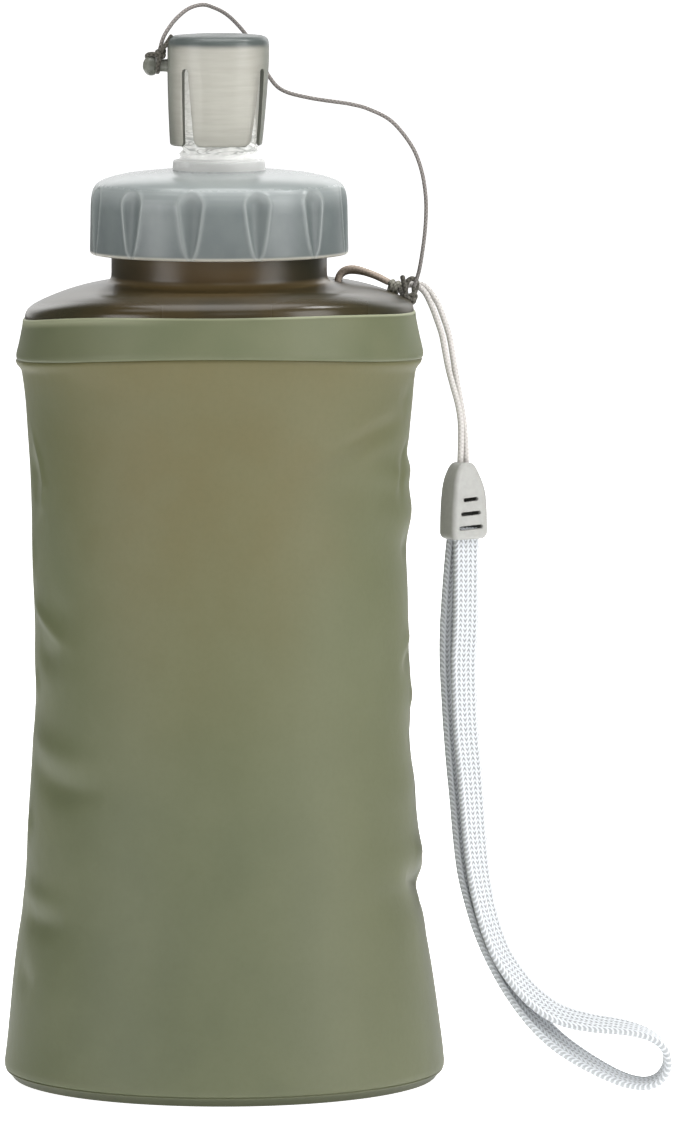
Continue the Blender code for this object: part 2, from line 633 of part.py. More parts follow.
def band_mesh(name, sections, width, thick):
    """A loft of rectangles along the sections, closed at both ends."""
    work = bmesh.new()
    rings = []
    for centre, wide, out in sections:
        corners = ((-1, -1), (1, -1), (1, 1), (-1, 1))
        rings.append(
            [work.verts.new((centre + wide * (a * width / 2) + out * (b * thick / 2)) * MM) for a, b in corners]
        )
    for first, second in zip(rings, rings[1:]):
        for i in range(4):
            j = (i + 1) % 4
            work.faces.new((first[i], first[j], second[j], second[i]))
    work.faces.new(rings[0][::-1])
    work.faces.new(rings[-1])
    bmesh.ops.recalc_face_normals(work, faces=work.faces)
    mesh = bpy.data.meshes.new(name)
    work.to_mesh(mesh)
    work.free()
    return mesh


add("strap_webbing", band_mesh("strap_webbing", webbing_sections(52), WEB_W, WEB_T), WEB, MAIN)

for part in PARTS.objects:
    if part.type == "MESH":
        smooth(part)
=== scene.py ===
"""Looks of the collapsible squeeze bottle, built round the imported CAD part.

The frame is the part's own: metres, +Z up, the origin on the bottle's axis on
the floor, the front faces -Y.  Lengths below are in millimetres unless a name
says otherwise.
"""

import math

import bmesh
import bpy
import numpy as np
from mathutils import Matrix, Vector


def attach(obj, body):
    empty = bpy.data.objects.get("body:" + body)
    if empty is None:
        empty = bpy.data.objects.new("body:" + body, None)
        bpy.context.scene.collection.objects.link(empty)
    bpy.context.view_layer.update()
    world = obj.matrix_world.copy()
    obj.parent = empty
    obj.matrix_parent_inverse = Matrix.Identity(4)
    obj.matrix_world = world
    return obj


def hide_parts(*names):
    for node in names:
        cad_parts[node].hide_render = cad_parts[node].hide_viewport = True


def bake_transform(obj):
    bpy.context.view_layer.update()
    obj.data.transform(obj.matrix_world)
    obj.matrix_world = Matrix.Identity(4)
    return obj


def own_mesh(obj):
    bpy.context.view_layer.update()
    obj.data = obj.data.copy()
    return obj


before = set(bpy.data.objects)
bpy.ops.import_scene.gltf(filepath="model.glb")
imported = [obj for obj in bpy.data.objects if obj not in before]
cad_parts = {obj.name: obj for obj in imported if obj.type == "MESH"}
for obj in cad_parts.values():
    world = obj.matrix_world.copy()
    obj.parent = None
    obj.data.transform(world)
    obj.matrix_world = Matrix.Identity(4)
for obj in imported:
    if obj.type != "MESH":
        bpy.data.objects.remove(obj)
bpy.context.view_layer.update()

MM = 0.001
scene = bpy.context.scene
rng = np.random.default_rng(7)

# ================================================================ camera
CAMERA_AT = Vector((0.0219, -1.75, 0.268))
LOOK_AT = Vector((0.0219, 0.0, 0.0943))
camera_data = bpy.data.cameras.new("camera")
camera_data.sensor_width = 36.0
camera_data.lens = 310.06
camera_data.clip_start, camera_data.clip_end = 0.05, 20.0
camera = bpy.data.objects.new("camera", camera_data)
camera.location = CAMERA_AT
camera.rotation_euler = (LOOK_AT - CAMERA_AT).to_track_quat("-Z", "Y").to_euler()
scene.collection.objects.link(camera)
scene.camera = camera

# ================================================================ mesh helpers


def link(obj):
    scene.collection.objects.link(obj)
    return obj


def outward(points, faces):
    """The faces turned so that a closed mesh has a positive volume."""
    volume = 0.0
    for face in faces:
        a = points[face[0]]
        for i in range(1, len(face) - 1):
            volume += np.dot(a, np.cross(points[face[i]], points[face[i + 1]]))
    return volume > 0


def volume_of(points, quads):
    a, b, c, d = (points[quads[:, i]] for i in range(4))
    return float(np.einsum("ij,ij->i", a, np.cross(b, c)).sum() + np.einsum("ij,ij->i", a, np.cross(c, d)).sum())


def ring_mesh(name, rings, loop=False, across=None, along=None):
    """A closed mesh from rings of points.  A loop joins the last ring to the first, and without it both ends are closed.

    across and along give texture coordinates: one value per point of a ring, plus one for the seam, and one per ring.
    """
    rings = np.asarray(rings, float)
    count, size = rings.shape[:2]
    points = rings.reshape(-1, 3)
    i = np.arange(count if loop else count - 1)[:, None]
    j = np.arange(size)[None, :]
    i2, j2 = (i + 1) % count, (j + 1) % size
    quads = np.stack([i * size + j, i * size + j2, i2 * size + j2, i2 * size + j], axis=-1).reshape(-1, 4)
    flip = False
    if loop:
        flip = volume_of(points, quads) < 0
    else:
        middle = points.mean(0)
        flip = volume_of(points - middle, quads) < 0
    faces = (quads[:, ::-1] if flip else quads).tolist()
    uvs = None
    if across is not None:
        across, along = np.asarray(across, float), np.asarray(along, float)
        u = np.stack([across[j], across[j + 1], across[j + 1], across[j]], axis=-1) + np.zeros((len(i), 1, 1))
        v_next = along[(i + 1) if not loop else np.minimum(i + 1, len(along) - 1)]
        v = np.stack([along[i] + 0 * j, along[i] + 0 * j, v_next + 0 * j, v_next + 0 * j], axis=-1)
        uvs = np.stack([u, v], axis=-1).reshape(-1, 4, 2)
        if flip:
            uvs = uvs[:, ::-1]
        uvs = uvs.reshape(-1, 2)
    if not loop:
        first, last = list(range(size)), list(range((count - 1) * size, count * size))
        centre_a, centre_b = len(points), len(points) + 1
        points = np.vstack([points, points[first].mean(0), points[last].mean(0)])
        caps = []
        for k in range(size):
            n = (k + 1) % size
            caps.append([centre_a, first[n], first[k]])
            caps.append([centre_b, last[k], last[n]])
        if flip:
            caps = [c[::-1] for c in caps]
        faces += caps
        if uvs is not None:
            end = np.zeros((len(caps) * 3, 2))
            end[:, 1] = np.repeat(np.tile([along[0], along[-1]], size), 3)
            uvs = np.vstack([uvs, end])
    mesh = bpy.data.meshes.new(name)
    mesh.from_pydata((points * MM).tolist(), [], faces)
    if uvs is not None:
        layer = mesh.uv_layers.new(name="UVMap")
        layer.data.foreach_set("uv", uvs.astype(np.float32).ravel())
    return mesh


def piece(name, mesh, mat, sharp=35.0):
    obj = link(bpy.data.objects.new(name, mesh))
    mesh.materials.clear()
    mesh.materials.append(mat)
    mesh.shade_smooth()
    mesh.set_sharp_from_angle(angle=math.radians(sharp))
    return obj


def rounded(points, radii, steps=4):
    """A profile of (r, z) with its corners rounded.  radii has one value per point."""
    out = []
    count = len(points)
    for k in range(count):
        p = np.array(points[k], float)
        a, b = np.array(points[k - 1], float), np.array(points[(k + 1) % count], float)
        size = radii[k]
        if not size:
            out.append(tuple(p))
            continue
        va, vb = a - p, b - p
        la, lb = np.linalg.norm(va), np.linalg.norm(vb)
        cut = min(size, 0.45 * la, 0.45 * lb)
        start, end = p + va / la * cut, p + vb / lb * cut
        for t in np.linspace(0, 1, steps + 1):
            out.append(tuple((1 - t) ** 2 * start + 2 * t * (1 - t) * p + t * t * end))
    return out


def densified(points, step, closed=True):
    """The profile with extra points, so that no run is longer than step."""
    out = []
    count = len(points)
    for k in range(count if closed else count - 1):
        a, b = np.array(points[k], float), np.array(points[(k + 1) % count], float)
        parts = max(1, int(math.ceil(np.linalg.norm(b - a) / step)))
        out += [tuple(a + (b - a) * t / parts) for t in range(parts)]
    if not closed:
        out.append(tuple(points[-1]))
    return out


def smooth_line(points, per=8):
    """A smooth open curve through (r, z) or (x, y, z) points."""
    given = [np.array(p, float) for p in points]
    ends = [2 * given[0] - given[1]] + given + [2 * given[-1] - given[-2]]
    out = []
    for i in range(1, len(ends) - 2):
        p0, p1, p2, p3 = ends[i - 1 : i + 3]
        for k in range(per):
            t = k / per
            out.append(0.5 * (2 * p1 + (p2 - p0) * t + (2 * p0 - 5 * p1 + 4 * p2 - p3) * t * t + (3 * p1 - p0 - 3 * p2 + p3) * t ** 3))
    out.append(given[-1])
    return [tuple(p) for p in out]


def lathe_rings(profile, segments, shape=None):
    """Rings of a turned shape.  shape(x, y, z) may move the points."""
    angle = np.linspace(0, 2 * np.pi, segments, endpoint=False)
    r = np.array([p[0] for p in profile])[:, None]
    z = np.array([p[1] for p in profile])[:, None]
    rings = np.stack([r * np.cos(angle), r * np.sin(angle), z + 0 * angle], axis=-1)
    return shape(rings) if shape else rings


def lathe(name, profile, segments=160, shape=None):
    """A turned solid.  A profile that starts and ends near the axis gets pole caps, and any other is a closed loop."""
    on_axis = profile[0][0] < 0.2 and profile[-1][0] < 0.2
    return ring_mesh(name, lathe_rings(profile, segments, shape), loop=not on_axis)


def apply_modifiers(obj):
    bpy.context.view_layer.update()
    graph = bpy.context.evaluated_depsgraph_get()
    mesh = bpy.data.meshes.new_from_object(obj.evaluated_get(graph))
    obj.modifiers.clear()
    obj.data = mesh
    return obj


def cut(obj, meshes, operation="DIFFERENCE"):
    """Applies a Boolean with each of the closed meshes."""
    for mesh in meshes:
        tool = link(bpy.data.objects.new("tool", mesh))
        mod = obj.modifiers.new("Cut", "BOOLEAN")
        mod.operation, mod.object, mod.solver = operation, tool, "EXACT"
        apply_modifiers(obj)
        bpy.data.objects.remove(tool)
    return obj


def box_mesh(size, place):
    work = bmesh.new()
    bmesh.ops.create_cube(work, size=1.0)
    bmesh.ops.transform(work, matrix=place @ Matrix.Diagonal((*[s * MM for s in size], 1.0)), verts=work.verts)
    mesh = bpy.data.meshes.new("box")
    work.to_mesh(mesh)
    work.free()
    return mesh


def even(points, count):
    """Evenly spaced points along a smooth curve through the given ones."""
    dense = np.array(smooth_line(points, 24))
    along = np.concatenate([[0], np.cumsum(np.linalg.norm(np.diff(dense, axis=0), axis=1))])
    at = np.linspace(0, along[-1], count)
    return np.stack([np.interp(at, along, dense[:, k]) for k in range(3)], axis=1)


def length_of(path):
    return float(np.linalg.norm(np.diff(path, axis=0), axis=1).sum())


def frames_along(path, closed=False):
    """Two directions across the path at each point, carried along it without twist."""
    path = np.asarray(path, float)
    if closed:
        run = np.roll(path, -1, 0) - np.roll(path, 1, 0)
    else:
        run = np.gradient(path, axis=0)
    run /= np.linalg.norm(run, axis=1)[:, None]
    first = np.cross(run[0], (0, 0, 1) if abs(run[0][2]) < 0.9 else (1, 0, 0))
    first /= np.linalg.norm(first)
    sides = [first]
    for k in range(1, len(path)):
        side = sides[-1] - run[k] * np.dot(sides[-1], run[k])
        sides.append(side / np.linalg.norm(side))
    sides = np.array(sides)
    if closed:
        back = sides[-1] - run[0] * np.dot(sides[-1], run[0])
        back /= np.linalg.norm(back)
        turn = math.atan2(np.dot(np.cross(back, sides[0]), run[0]), np.dot(back, sides[0]))
        for k in range(len(path)):
            a = turn * k / len(path)
            sides[k] = sides[k] * math.cos(a) + np.cross(run[k], sides[k]) * math.sin(a)
    return sides, np.cross(run, sides), run


def tube(name, path, radius, sides=14, closed=False, taper=None):
    """A tube along the path, with texture coordinates: turns round it, and millimetres along it."""
    path = np.asarray(path, float)
    one, two, run = frames_along(path, closed)
    angle = np.linspace(0, 2 * np.pi, sides, endpoint=False)
    radius = np.broadcast_to(np.asarray(radius, float), (len(path),)).copy()
    if taper:
        radius = radius * taper(np.linspace(0, 1, len(path)))
    rings = path[:, None] + radius[:, None, None] * (
        one[:, None] * np.cos(angle)[None, :, None] + two[:, None] * np.sin(angle)[None, :, None]
    )
    step = np.linalg.norm(np.diff(path, axis=0), axis=1)
    along = np.concatenate([[0], np.cumsum(step)])
    if closed:
        along = np.append(along, along[-1] + np.linalg.norm(path[0] - path[-1]))
    else:
        # round ends
        ends = []
        for k, sign in ((0, -1), (-1, 1)):
            more = []
            for a in (0.35, 0.65, 0.9):
                shift = path[k] + run[k] * sign * radius[k] * 0.7 * math.sin(a * math.pi / 2)
                more.append(shift + (rings[k] - path[k]) * math.cos(a * math.pi / 2))
            ends.append(more)
        rings = np.concatenate([np.array(ends[0][::-1]), rings, np.array(ends[1])])
        along = np.concatenate([[along[0]] * 3, along, [along[-1]] * 3])
    return ring_mesh(name, rings, loop=closed, across=np.linspace(0, 1, sides + 1), along=along)


def joined(name, meshes):
    """Several closed meshes as one, texture coordinates kept."""
    work = bmesh.new()
    for mesh in meshes:
        work.from_mesh(mesh)
    out = bpy.data.meshes.new(name)
    work.to_mesh(out)
    work.free()
    return out


def eased(value, low, high):
    t = np.clip((np.asarray(value, float) - low) / (high - low), 0, 1)
    return t * t * (3 - 2 * t)


# ================================================================ materials


class Nodes:
    """A material's node tree, with short calls for the nodes used here."""

    def __init__(self, name):
        self.mat = bpy.data.materials.new(name)
        self.mat.use_nodes = True
        self.tree = self.mat.node_tree
        self.shader = self.tree.nodes["Principled BSDF"]
        self.output = self.tree.nodes["Material Output"]
        self.coords = None

    def new(self, kind, **values):
        node = self.tree.nodes.new(kind)
        for key, value in values.items():
            setattr(node, key, value)
        return node

    def put(self, socket, value):
        if isinstance(value, bpy.types.NodeSocket):
            self.tree.links.new(value, socket)
        elif isinstance(value, (tuple, list)) and len(value) == 3 and socket.type == "RGBA":
            socket.default_value = (*value, 1.0)
        else:
            socket.default_value = value

    def set(self, **values):
        for key, value in values.items():
            self.put(self.shader.inputs[key.replace("_", " ")], value)

    def place(self):
        """Object coordinates in millimetres."""
        if self.coords is None:
            source = self.new("ShaderNodeTexCoord")
            scale = self.new("ShaderNodeVectorMath", operation="SCALE")
            self.put(scale.inputs[0], source.outputs["Object"])
            scale.inputs["Scale"].default_value = 1000.0
            self.coords = scale.outputs[0]
        return self.coords

    def axes(self, vector=None):
        node = self.new("ShaderNodeSeparateXYZ")
        self.put(node.inputs[0], vector or self.place())
        return node.outputs

    def uv(self):
        node = self.new("ShaderNodeUVMap")
        node.uv_map = "UVMap"
        return self.axes(node.outputs[0])

    def math(self, operation, a, b=None, c=None):
        node = self.new("ShaderNodeMath", operation=operation)
        for k, value in enumerate((a, b, c)):
            if value is not None:
                self.put(node.inputs[k], value)
        return node.outputs[0]

    def span(self, value, low, high, to_low=0.0, to_high=1.0, smooth=True):
        node = self.new("ShaderNodeMapRange")
        node.interpolation_type = "SMOOTHSTEP" if smooth else "LINEAR"
        self.put(node.inputs["Value"], value)
        for key, x in (("From Min", low), ("From Max", high), ("To Min", to_low), ("To Max", to_high)):
            node.inputs[key].default_value = x
        return node.outputs["Result"]

    def noise(self, scale, detail=3.0, rough=0.5, stretch=None, vector=None, colour=False):
        """Noise with about scale features per millimetre."""
        where = vector or self.place()
        if stretch:
            node = self.new("ShaderNodeVectorMath", operation="MULTIPLY")
            self.put(node.inputs[0], where)
            node.inputs[1].default_value = stretch
            where = node.outputs[0]
        node = self.new("ShaderNodeTexNoise")
        self.put(node.inputs["Vector"], where)
        node.inputs["Scale"].default_value = scale
        node.inputs["Detail"].default_value = detail
        node.inputs["Roughness"].default_value = rough
        return node.outputs["Color" if colour else "Fac"]

    def mix(self, share, a, b, blend="MIX"):
        node = self.new("ShaderNodeMix", data_type="RGBA", blend_type=blend)
        self.put(node.inputs[0], share)
        self.put(node.inputs[6], a)
        self.put(node.inputs[7], b)
        return node.outputs[2]

    def unlifted(self):
        """Height with the rim's lift taken away, as in saddle()."""
        x, y, z = self.axes()
        square = self.math("ADD", self.math("MULTIPLY", x, x), self.math("MULTIPLY", y, y))
        front = self.math("DIVIDE", self.math("MULTIPLY", y, y), square)
        right = self.math("DIVIDE", x, self.math("SQRT", square))
        tilt = self.math("POWER", self.math("MULTIPLY", self.math("ADD", right, 1.0), 0.5), 1.5)
        tilt = self.math("MULTIPLY", tilt, self.math("SUBTRACT", 1.0, self.math("MULTIPLY", front, 0.55)))
        line = self.math("SUBTRACT", 2.21, self.math("MULTIPLY", front, 2.36))
        line = self.math("SUBTRACT", self.math("MULTIPLY", front, line), 0.35)
        far = self.math("POWER", self.math("MAXIMUM", right, 0.0), 6.0)
        line = self.math("ADD", line, self.math("MULTIPLY", far, 0.42))
        lift = self.math("ADD", self.math("MULTIPLY", front, 2.5), line)
        return self.math("SUBTRACT", self.math("SUBTRACT", z, lift), tilt)

    def bump(self, height, strength, distance, under=None):
        """A bump of that depth in millimetres."""
        node = self.new("ShaderNodeBump")
        node.inputs["Strength"].default_value = strength
        node.inputs["Distance"].default_value = distance * MM
        self.put(node.inputs["Height"], height)
        if under is not None:
            self.put(node.inputs["Normal"], under)
        return node.outputs[0]


def srgb(r, g, b):
    """8-bit screen colour to linear."""
    return tuple((v / 255 / 12.92) if v <= 10 else ((v / 255 + 0.055) / 1.055) ** 2.4 for v in (r, g, b))


def bag_material():
    m = Nodes("bag_film")
    x, y, z = m.axes()
    green = m.mix(m.span(z, 20.0, 90.0), srgb(94, 99, 75), srgb(99, 104, 76))
    brown = srgb(112, 105, 71)
    deep = srgb(84, 90, 60)
    light = srgb(116, 119, 91)
    # the film's olive turns warmer in a broad zone about the middle, up towards the shoulder
    wander = m.math("MULTIPLY", m.math("SUBTRACT", m.noise(0.03, 2.0), 0.5), 26.0)
    from_middle = m.math("ABSOLUTE", m.math("ADD", x, 3.0))
    wider = m.span(z, 80.0, 128.0, 0.0, 11.0)
    across = m.span(m.math("SUBTRACT", m.math("ADD", from_middle, wander), wider), 9.0, 32.0, 1.0, 0.0)
    up = m.span(m.math("ADD", z, wander), 46.0, 118.0)
    warm = m.math("MULTIPLY", m.math("MULTIPLY", across, up), 0.85)
    colour = m.mix(warm, green, brown)
    # painted shade: the left side of the film is darker, away from the light
    colour = m.mix(m.span(m.math("ADD", x, m.math("MULTIPLY", wander, 0.4)), -34.0, -12.0, 0.62, 0.0), colour, deep)
    # painted light: the right side of the film is a little lighter, towards the light
    colour = m.mix(m.span(x, 2.0, 26.0, 0.0, 0.22), colour, srgb(122, 122, 94))
    # a slow mottle of painted light and shade, for the lighter and darker sides of soft folds
    mottle = m.span(m.noise(0.09, 4.0, 0.55), 0.32, 0.70)
    colour = m.mix(m.math("MULTIPLY", mottle, 0.20), colour, light)
    # painted shadow: a dark strip along the foot's lowest edge, next to the floor
    foot_shadow_strip = m.span(z, 1.2, 2.0, 0.85, 0.0)
    colour = m.mix(foot_shadow_strip, colour, srgb(62, 66, 44))
    under_band = m.span(z, 124.0, 134.0, 0.0, 0.35)
    colour = m.mix(under_band, colour, srgb(112, 104, 66))
    cloud = m.noise(1.1, 5.0, 0.6)
    colour = m.mix(m.span(cloud, 0.35, 0.75, 0.0, 0.10), colour, srgb(76, 82, 54))
    m.set(Base_Color=colour, Roughness=0.52)
    m.shader.inputs["Specular IOR Level"].default_value = 0.36
    m.shader.inputs["Sheen Weight"].default_value = 0.0
    fine = m.noise(5.0, 3.0, 0.6)
    skin = m.bump(fine, 0.16, 0.05)
    soft = m.bump(m.noise(0.35, 3.0, 0.5), 0.35, 0.22, skin)
    m.set(Normal=soft)
    # some light passes through the film
    through = m.new("ShaderNodeBsdfTranslucent")
    m.put(through.inputs["Color"], m.mix(0.5, colour, srgb(170, 160, 108)))
    both = m.new("ShaderNodeMixShader")
    both.inputs[0].default_value = 0.22
    m.put(both.inputs[1], m.shader.outputs[0])
    m.put(both.inputs[2], through.outputs[0])
    m.put(m.output.inputs["Surface"], both.outputs[0])
    return m.mat


def band_material():
    m = Nodes("band_film")
    x, y, z = m.axes()
    base = m.mix(m.span(m.noise(0.06, 2.0, 0.5), 0.3, 0.7), srgb(92, 97, 72), srgb(100, 103, 78))
    # painted shade: the left side of the band is darker
    base = m.mix(m.span(x, -38.0, -12.0, 0.70, 0.0), base, srgb(74, 79, 56))
    base = m.mix(m.span(m.noise(1.4, 4.0, 0.6), 0.35, 0.75, 0.0, 0.07), base, srgb(80, 86, 60))
    # painted highlight: its top edge is painted lighter, as where it catches the light, and more broadly so on the left
    edge = m.math("MULTIPLY", m.span(m.unlifted(), 138.5, 138.85), m.span(m.math("ABSOLUTE", x), 4.0, 16.0, 0.30, 0.85))
    broad_left_highlight = m.math("MULTIPLY", m.span(m.unlifted(), 137.3, 138.6), m.span(x, -26.0, -4.0, 0.60, 0.0))
    edge = m.math("MAXIMUM", edge, broad_left_highlight)
    base = m.mix(edge, base, srgb(142, 145, 119))
    m.set(Base_Color=base, Roughness=0.50)
    m.shader.inputs["Specular IOR Level"].default_value = 0.32
    m.set(Normal=m.bump(m.noise(5.5, 3.0, 0.6), 0.18, 0.05))
    return m.mat


def shoulder_material():
    m = Nodes("shoulder_plastic")
    x, y, z = m.axes()
    # painted shade: the neck is darker towards both sides, and lighter and warmer in the middle
    from_middle = m.math("ABSOLUTE", m.math("ADD", x, m.math("MULTIPLY", m.noise(0.05, 2.0), 4.0)))
    neck = m.mix(m.span(from_middle, 6.0, 17.0), srgb(92, 75, 47), srgb(48, 46, 31))
    dome = m.mix(m.span(from_middle, 10.0, 32.0), srgb(46, 39, 22), srgb(44, 42, 28))
    base = m.mix(m.span(z, 143.5, 147.5), dome, neck)
    base = m.mix(m.span(m.noise(0.08, 2.0), 0.35, 0.7, 0.0, 0.25), base, srgb(84, 70, 44))
    # painted highlight: a light line along the fillet between the neck and the dome
    fillet_highlight = m.math("MULTIPLY", m.span(z, 144.9, 145.4), m.span(z, 145.9, 146.6, 0.5, 0.0))
    base = m.mix(fillet_highlight, base, srgb(122, 104, 70))
    rough = m.math("ADD", m.span(z, 144.5, 147.0, 0.30, 0.33), m.span(x, 24.0, 34.0, 0.0, 0.10))
    rim = m.math("MULTIPLY", m.span(m.unlifted(), 141.0, 142.4, 1.0, 0.0), m.span(m.math("ABSOLUTE", x), 4.0, 18.0))
    rim = m.math("MULTIPLY", rim, m.span(x, 25.0, 30.0, 1.0, 0.0))
    m.set(Base_Color=base, Roughness=m.math("SUBTRACT", rough, m.math("MULTIPLY", rim, 0.07)))
    m.shader.inputs["Specular IOR Level"].default_value = 0.36
    m.set(Normal=m.bump(m.noise(0.7, 0.0, 0.5), 0.12, 0.03))
    return m.mat


CAP_R = 23.3
FLUTE_TOP, FLUTE_TIP, FLUTES, FLUTE_PHASE = 160.35, 150.4, 12, 18.0
FLUTE_HALF, FLUTE_DEEP = 2.32, 0.98


def cap_material():
    m = Nodes("cap_plastic")
    x, y, z = m.axes()
    base = m.mix(m.span(m.noise(0.25, 3.0), 0.3, 0.7), srgb(97, 104, 104), srgb(103, 110, 109))
    base = m.mix(m.span(m.noise(4.0, 4.0, 0.65), 0.5, 0.8, 0.0, 0.10), base, srgb(94, 101, 103))
    # painted light: the top is lighter, for the light from above, and the lower edge carries a light line
    base = m.mix(m.span(z, 158.4, 163.0), base, srgb(135, 141, 140))
    base = m.mix(m.span(z, 150.65, 151.2, 0.85, 0.0), base, srgb(198, 194, 181))
    # the grips: painted highlights on their round lips, and painted shade inside
    step = 2 * math.pi / FLUTES
    turned = m.math("ADD", m.math("ARCTAN2", y, x), step / 2 - math.radians(FLUTE_PHASE - 90))
    away = m.math("SUBTRACT", m.math("FLOORED_MODULO", turned, step), step / 2)
    s = m.math("MULTIPLY", m.math("ABSOLUTE", away), CAP_R)
    t = m.span(z, FLUTE_TIP, FLUTE_TOP, 0.0004, 1.0, smooth=False)
    half = m.math("MULTIPLY", m.math("SQRT", t), FLUTE_HALF)
    over = m.math("MULTIPLY", m.math("MAXIMUM", m.math("SUBTRACT", z, FLUTE_TOP), 0.0), 1 / (FLUTE_HALF * 1.05))
    u = m.math("DIVIDE", s, half)
    u = m.math("SQRT", m.math("ADD", m.math("MULTIPLY", u, u), m.math("MULTIPLY", over, over)))
    beyond = m.math("MULTIPLY", m.math("SUBTRACT", u, 1.0), half)
    wall = m.span(z, 162.4, 163.0, 1.0, 0.0)
    rim = m.span(m.math("ABSOLUTE", m.math("SUBTRACT", beyond, 0.10)), 0.05, 0.62, 0.42, 0.0)
    base = m.mix(m.math("MULTIPLY", rim, wall), base, srgb(150, 155, 153))
    inside = m.math("MULTIPLY", m.span(u, 0.35, 0.85, 1.0, 0.0), wall)
    base = m.mix(m.math("MULTIPLY", inside, 0.30), base, srgb(80, 87, 86))
    rough = m.span(m.noise(0.9, 3.0), 0.3, 0.7, 0.31, 0.37)
    rough = m.math("SUBTRACT", rough, m.span(z, 162.5, 163.4, 0.0, 0.10))
    m.set(Base_Color=base, Roughness=m.math("ADD", rough, m.math("MULTIPLY", inside, 0.14)))
    m.shader.inputs["Specular IOR Level"].default_value = 0.50
    m.shader.inputs["Subsurface Weight"].default_value = 0.0
    m.set(Normal=m.bump(m.noise(6.5, 3.0, 0.6), 0.14, 0.04))
    return m.mat


def smoke_material():
    """Frosted translucent plastic.  It lets less light through where the eye looks along the wall, as smoked glass does."""
    m = Nodes("dust_cap_smoke")
    x, y, z = m.axes()
    top = m.span(z, 187.5, 188.7)
    peg = m.span(x, -9.6, -9.0, 1.0, 0.0)
    weight = m.new("ShaderNodeLayerWeight")
    weight.inputs["Blend"].default_value = 0.5
    edge = m.span(weight.outputs["Facing"], 0.22, 0.80)
    body = m.mix(m.span(m.noise(0.8, 3.0, 0.6, stretch=(0.12, 0.12, 1.3)), 0.3, 0.7), srgb(179, 177, 168), srgb(188, 186, 177))
    body = m.mix(edge, body, srgb(106, 109, 99))
    # how far the surface faces away from the axis or towards it: the cut faces between the tongues do neither
    normal = m.new("ShaderNodeTexCoord").outputs["Normal"]
    nx, ny, nz = m.axes(normal)
    reach = m.math("SQRT", m.math("ADD", m.math("MULTIPLY", x, x), m.math("MULTIPLY", y, y)))
    radial = m.math("DIVIDE", m.math("ADD", m.math("MULTIPLY", nx, x), m.math("MULTIPLY", ny, y)), reach)
    side_face = m.math("MULTIPLY", m.span(m.math("ABSOLUTE", radial), 0.45, 0.85, 1.0, 0.0), m.span(z, 187.0, 187.8, 1.0, 0.0))
    # painted shade: the cut faces between the tongues are darker
    body = m.mix(side_face, body, srgb(88, 90, 82))
    ball = m.span(m.noise(0.7, 2.0), 0.35, 0.65)
    body = m.mix(peg, body, m.mix(ball, srgb(88, 90, 81), srgb(112, 114, 104)))
    body = m.mix(top, body, srgb(80, 87, 85))
    # painted light: the inside of the dust cap glows a little of its own, for the light gathered in the translucent
    # plastic
    inner_glow = m.math("MULTIPLY", m.span(radial, -0.85, -0.45, 1.0, 0.0), m.span(z, 187.0, 187.8, 1.0, 0.0))
    m.shader.inputs["Emission Color"].default_value = (1.0, 0.99, 0.95, 1.0)
    m.set(Emission_Strength=m.math("MULTIPLY", inner_glow, 0.24))
    m.set(Base_Color=body, Roughness=m.span(m.noise(1.5, 3.0), 0.3, 0.7, 0.30, 0.38))
    m.shader.inputs["Specular IOR Level"].default_value = 0.5
    m.set(Normal=m.bump(m.noise(5.0, 3.0, 0.6), 0.10, 0.03))
    clear = m.new("ShaderNodeBsdfTransparent")
    clear.inputs["Color"].default_value = (*srgb(242, 242, 238), 1.0)
    thick = m.math("MAXIMUM", m.math("MAXIMUM", top, peg), m.math("MAXIMUM", edge, side_face))
    both = m.new("ShaderNodeMixShader")
    m.put(both.inputs[0], m.span(thick, 0.0, 1.0, 0.39, 0.10, smooth=False))
    m.put(both.inputs[1], m.shader.outputs[0])
    m.put(both.inputs[2], clear.outputs[0])
    m.put(m.output.inputs["Surface"], both.outputs[0])
    return m.mat


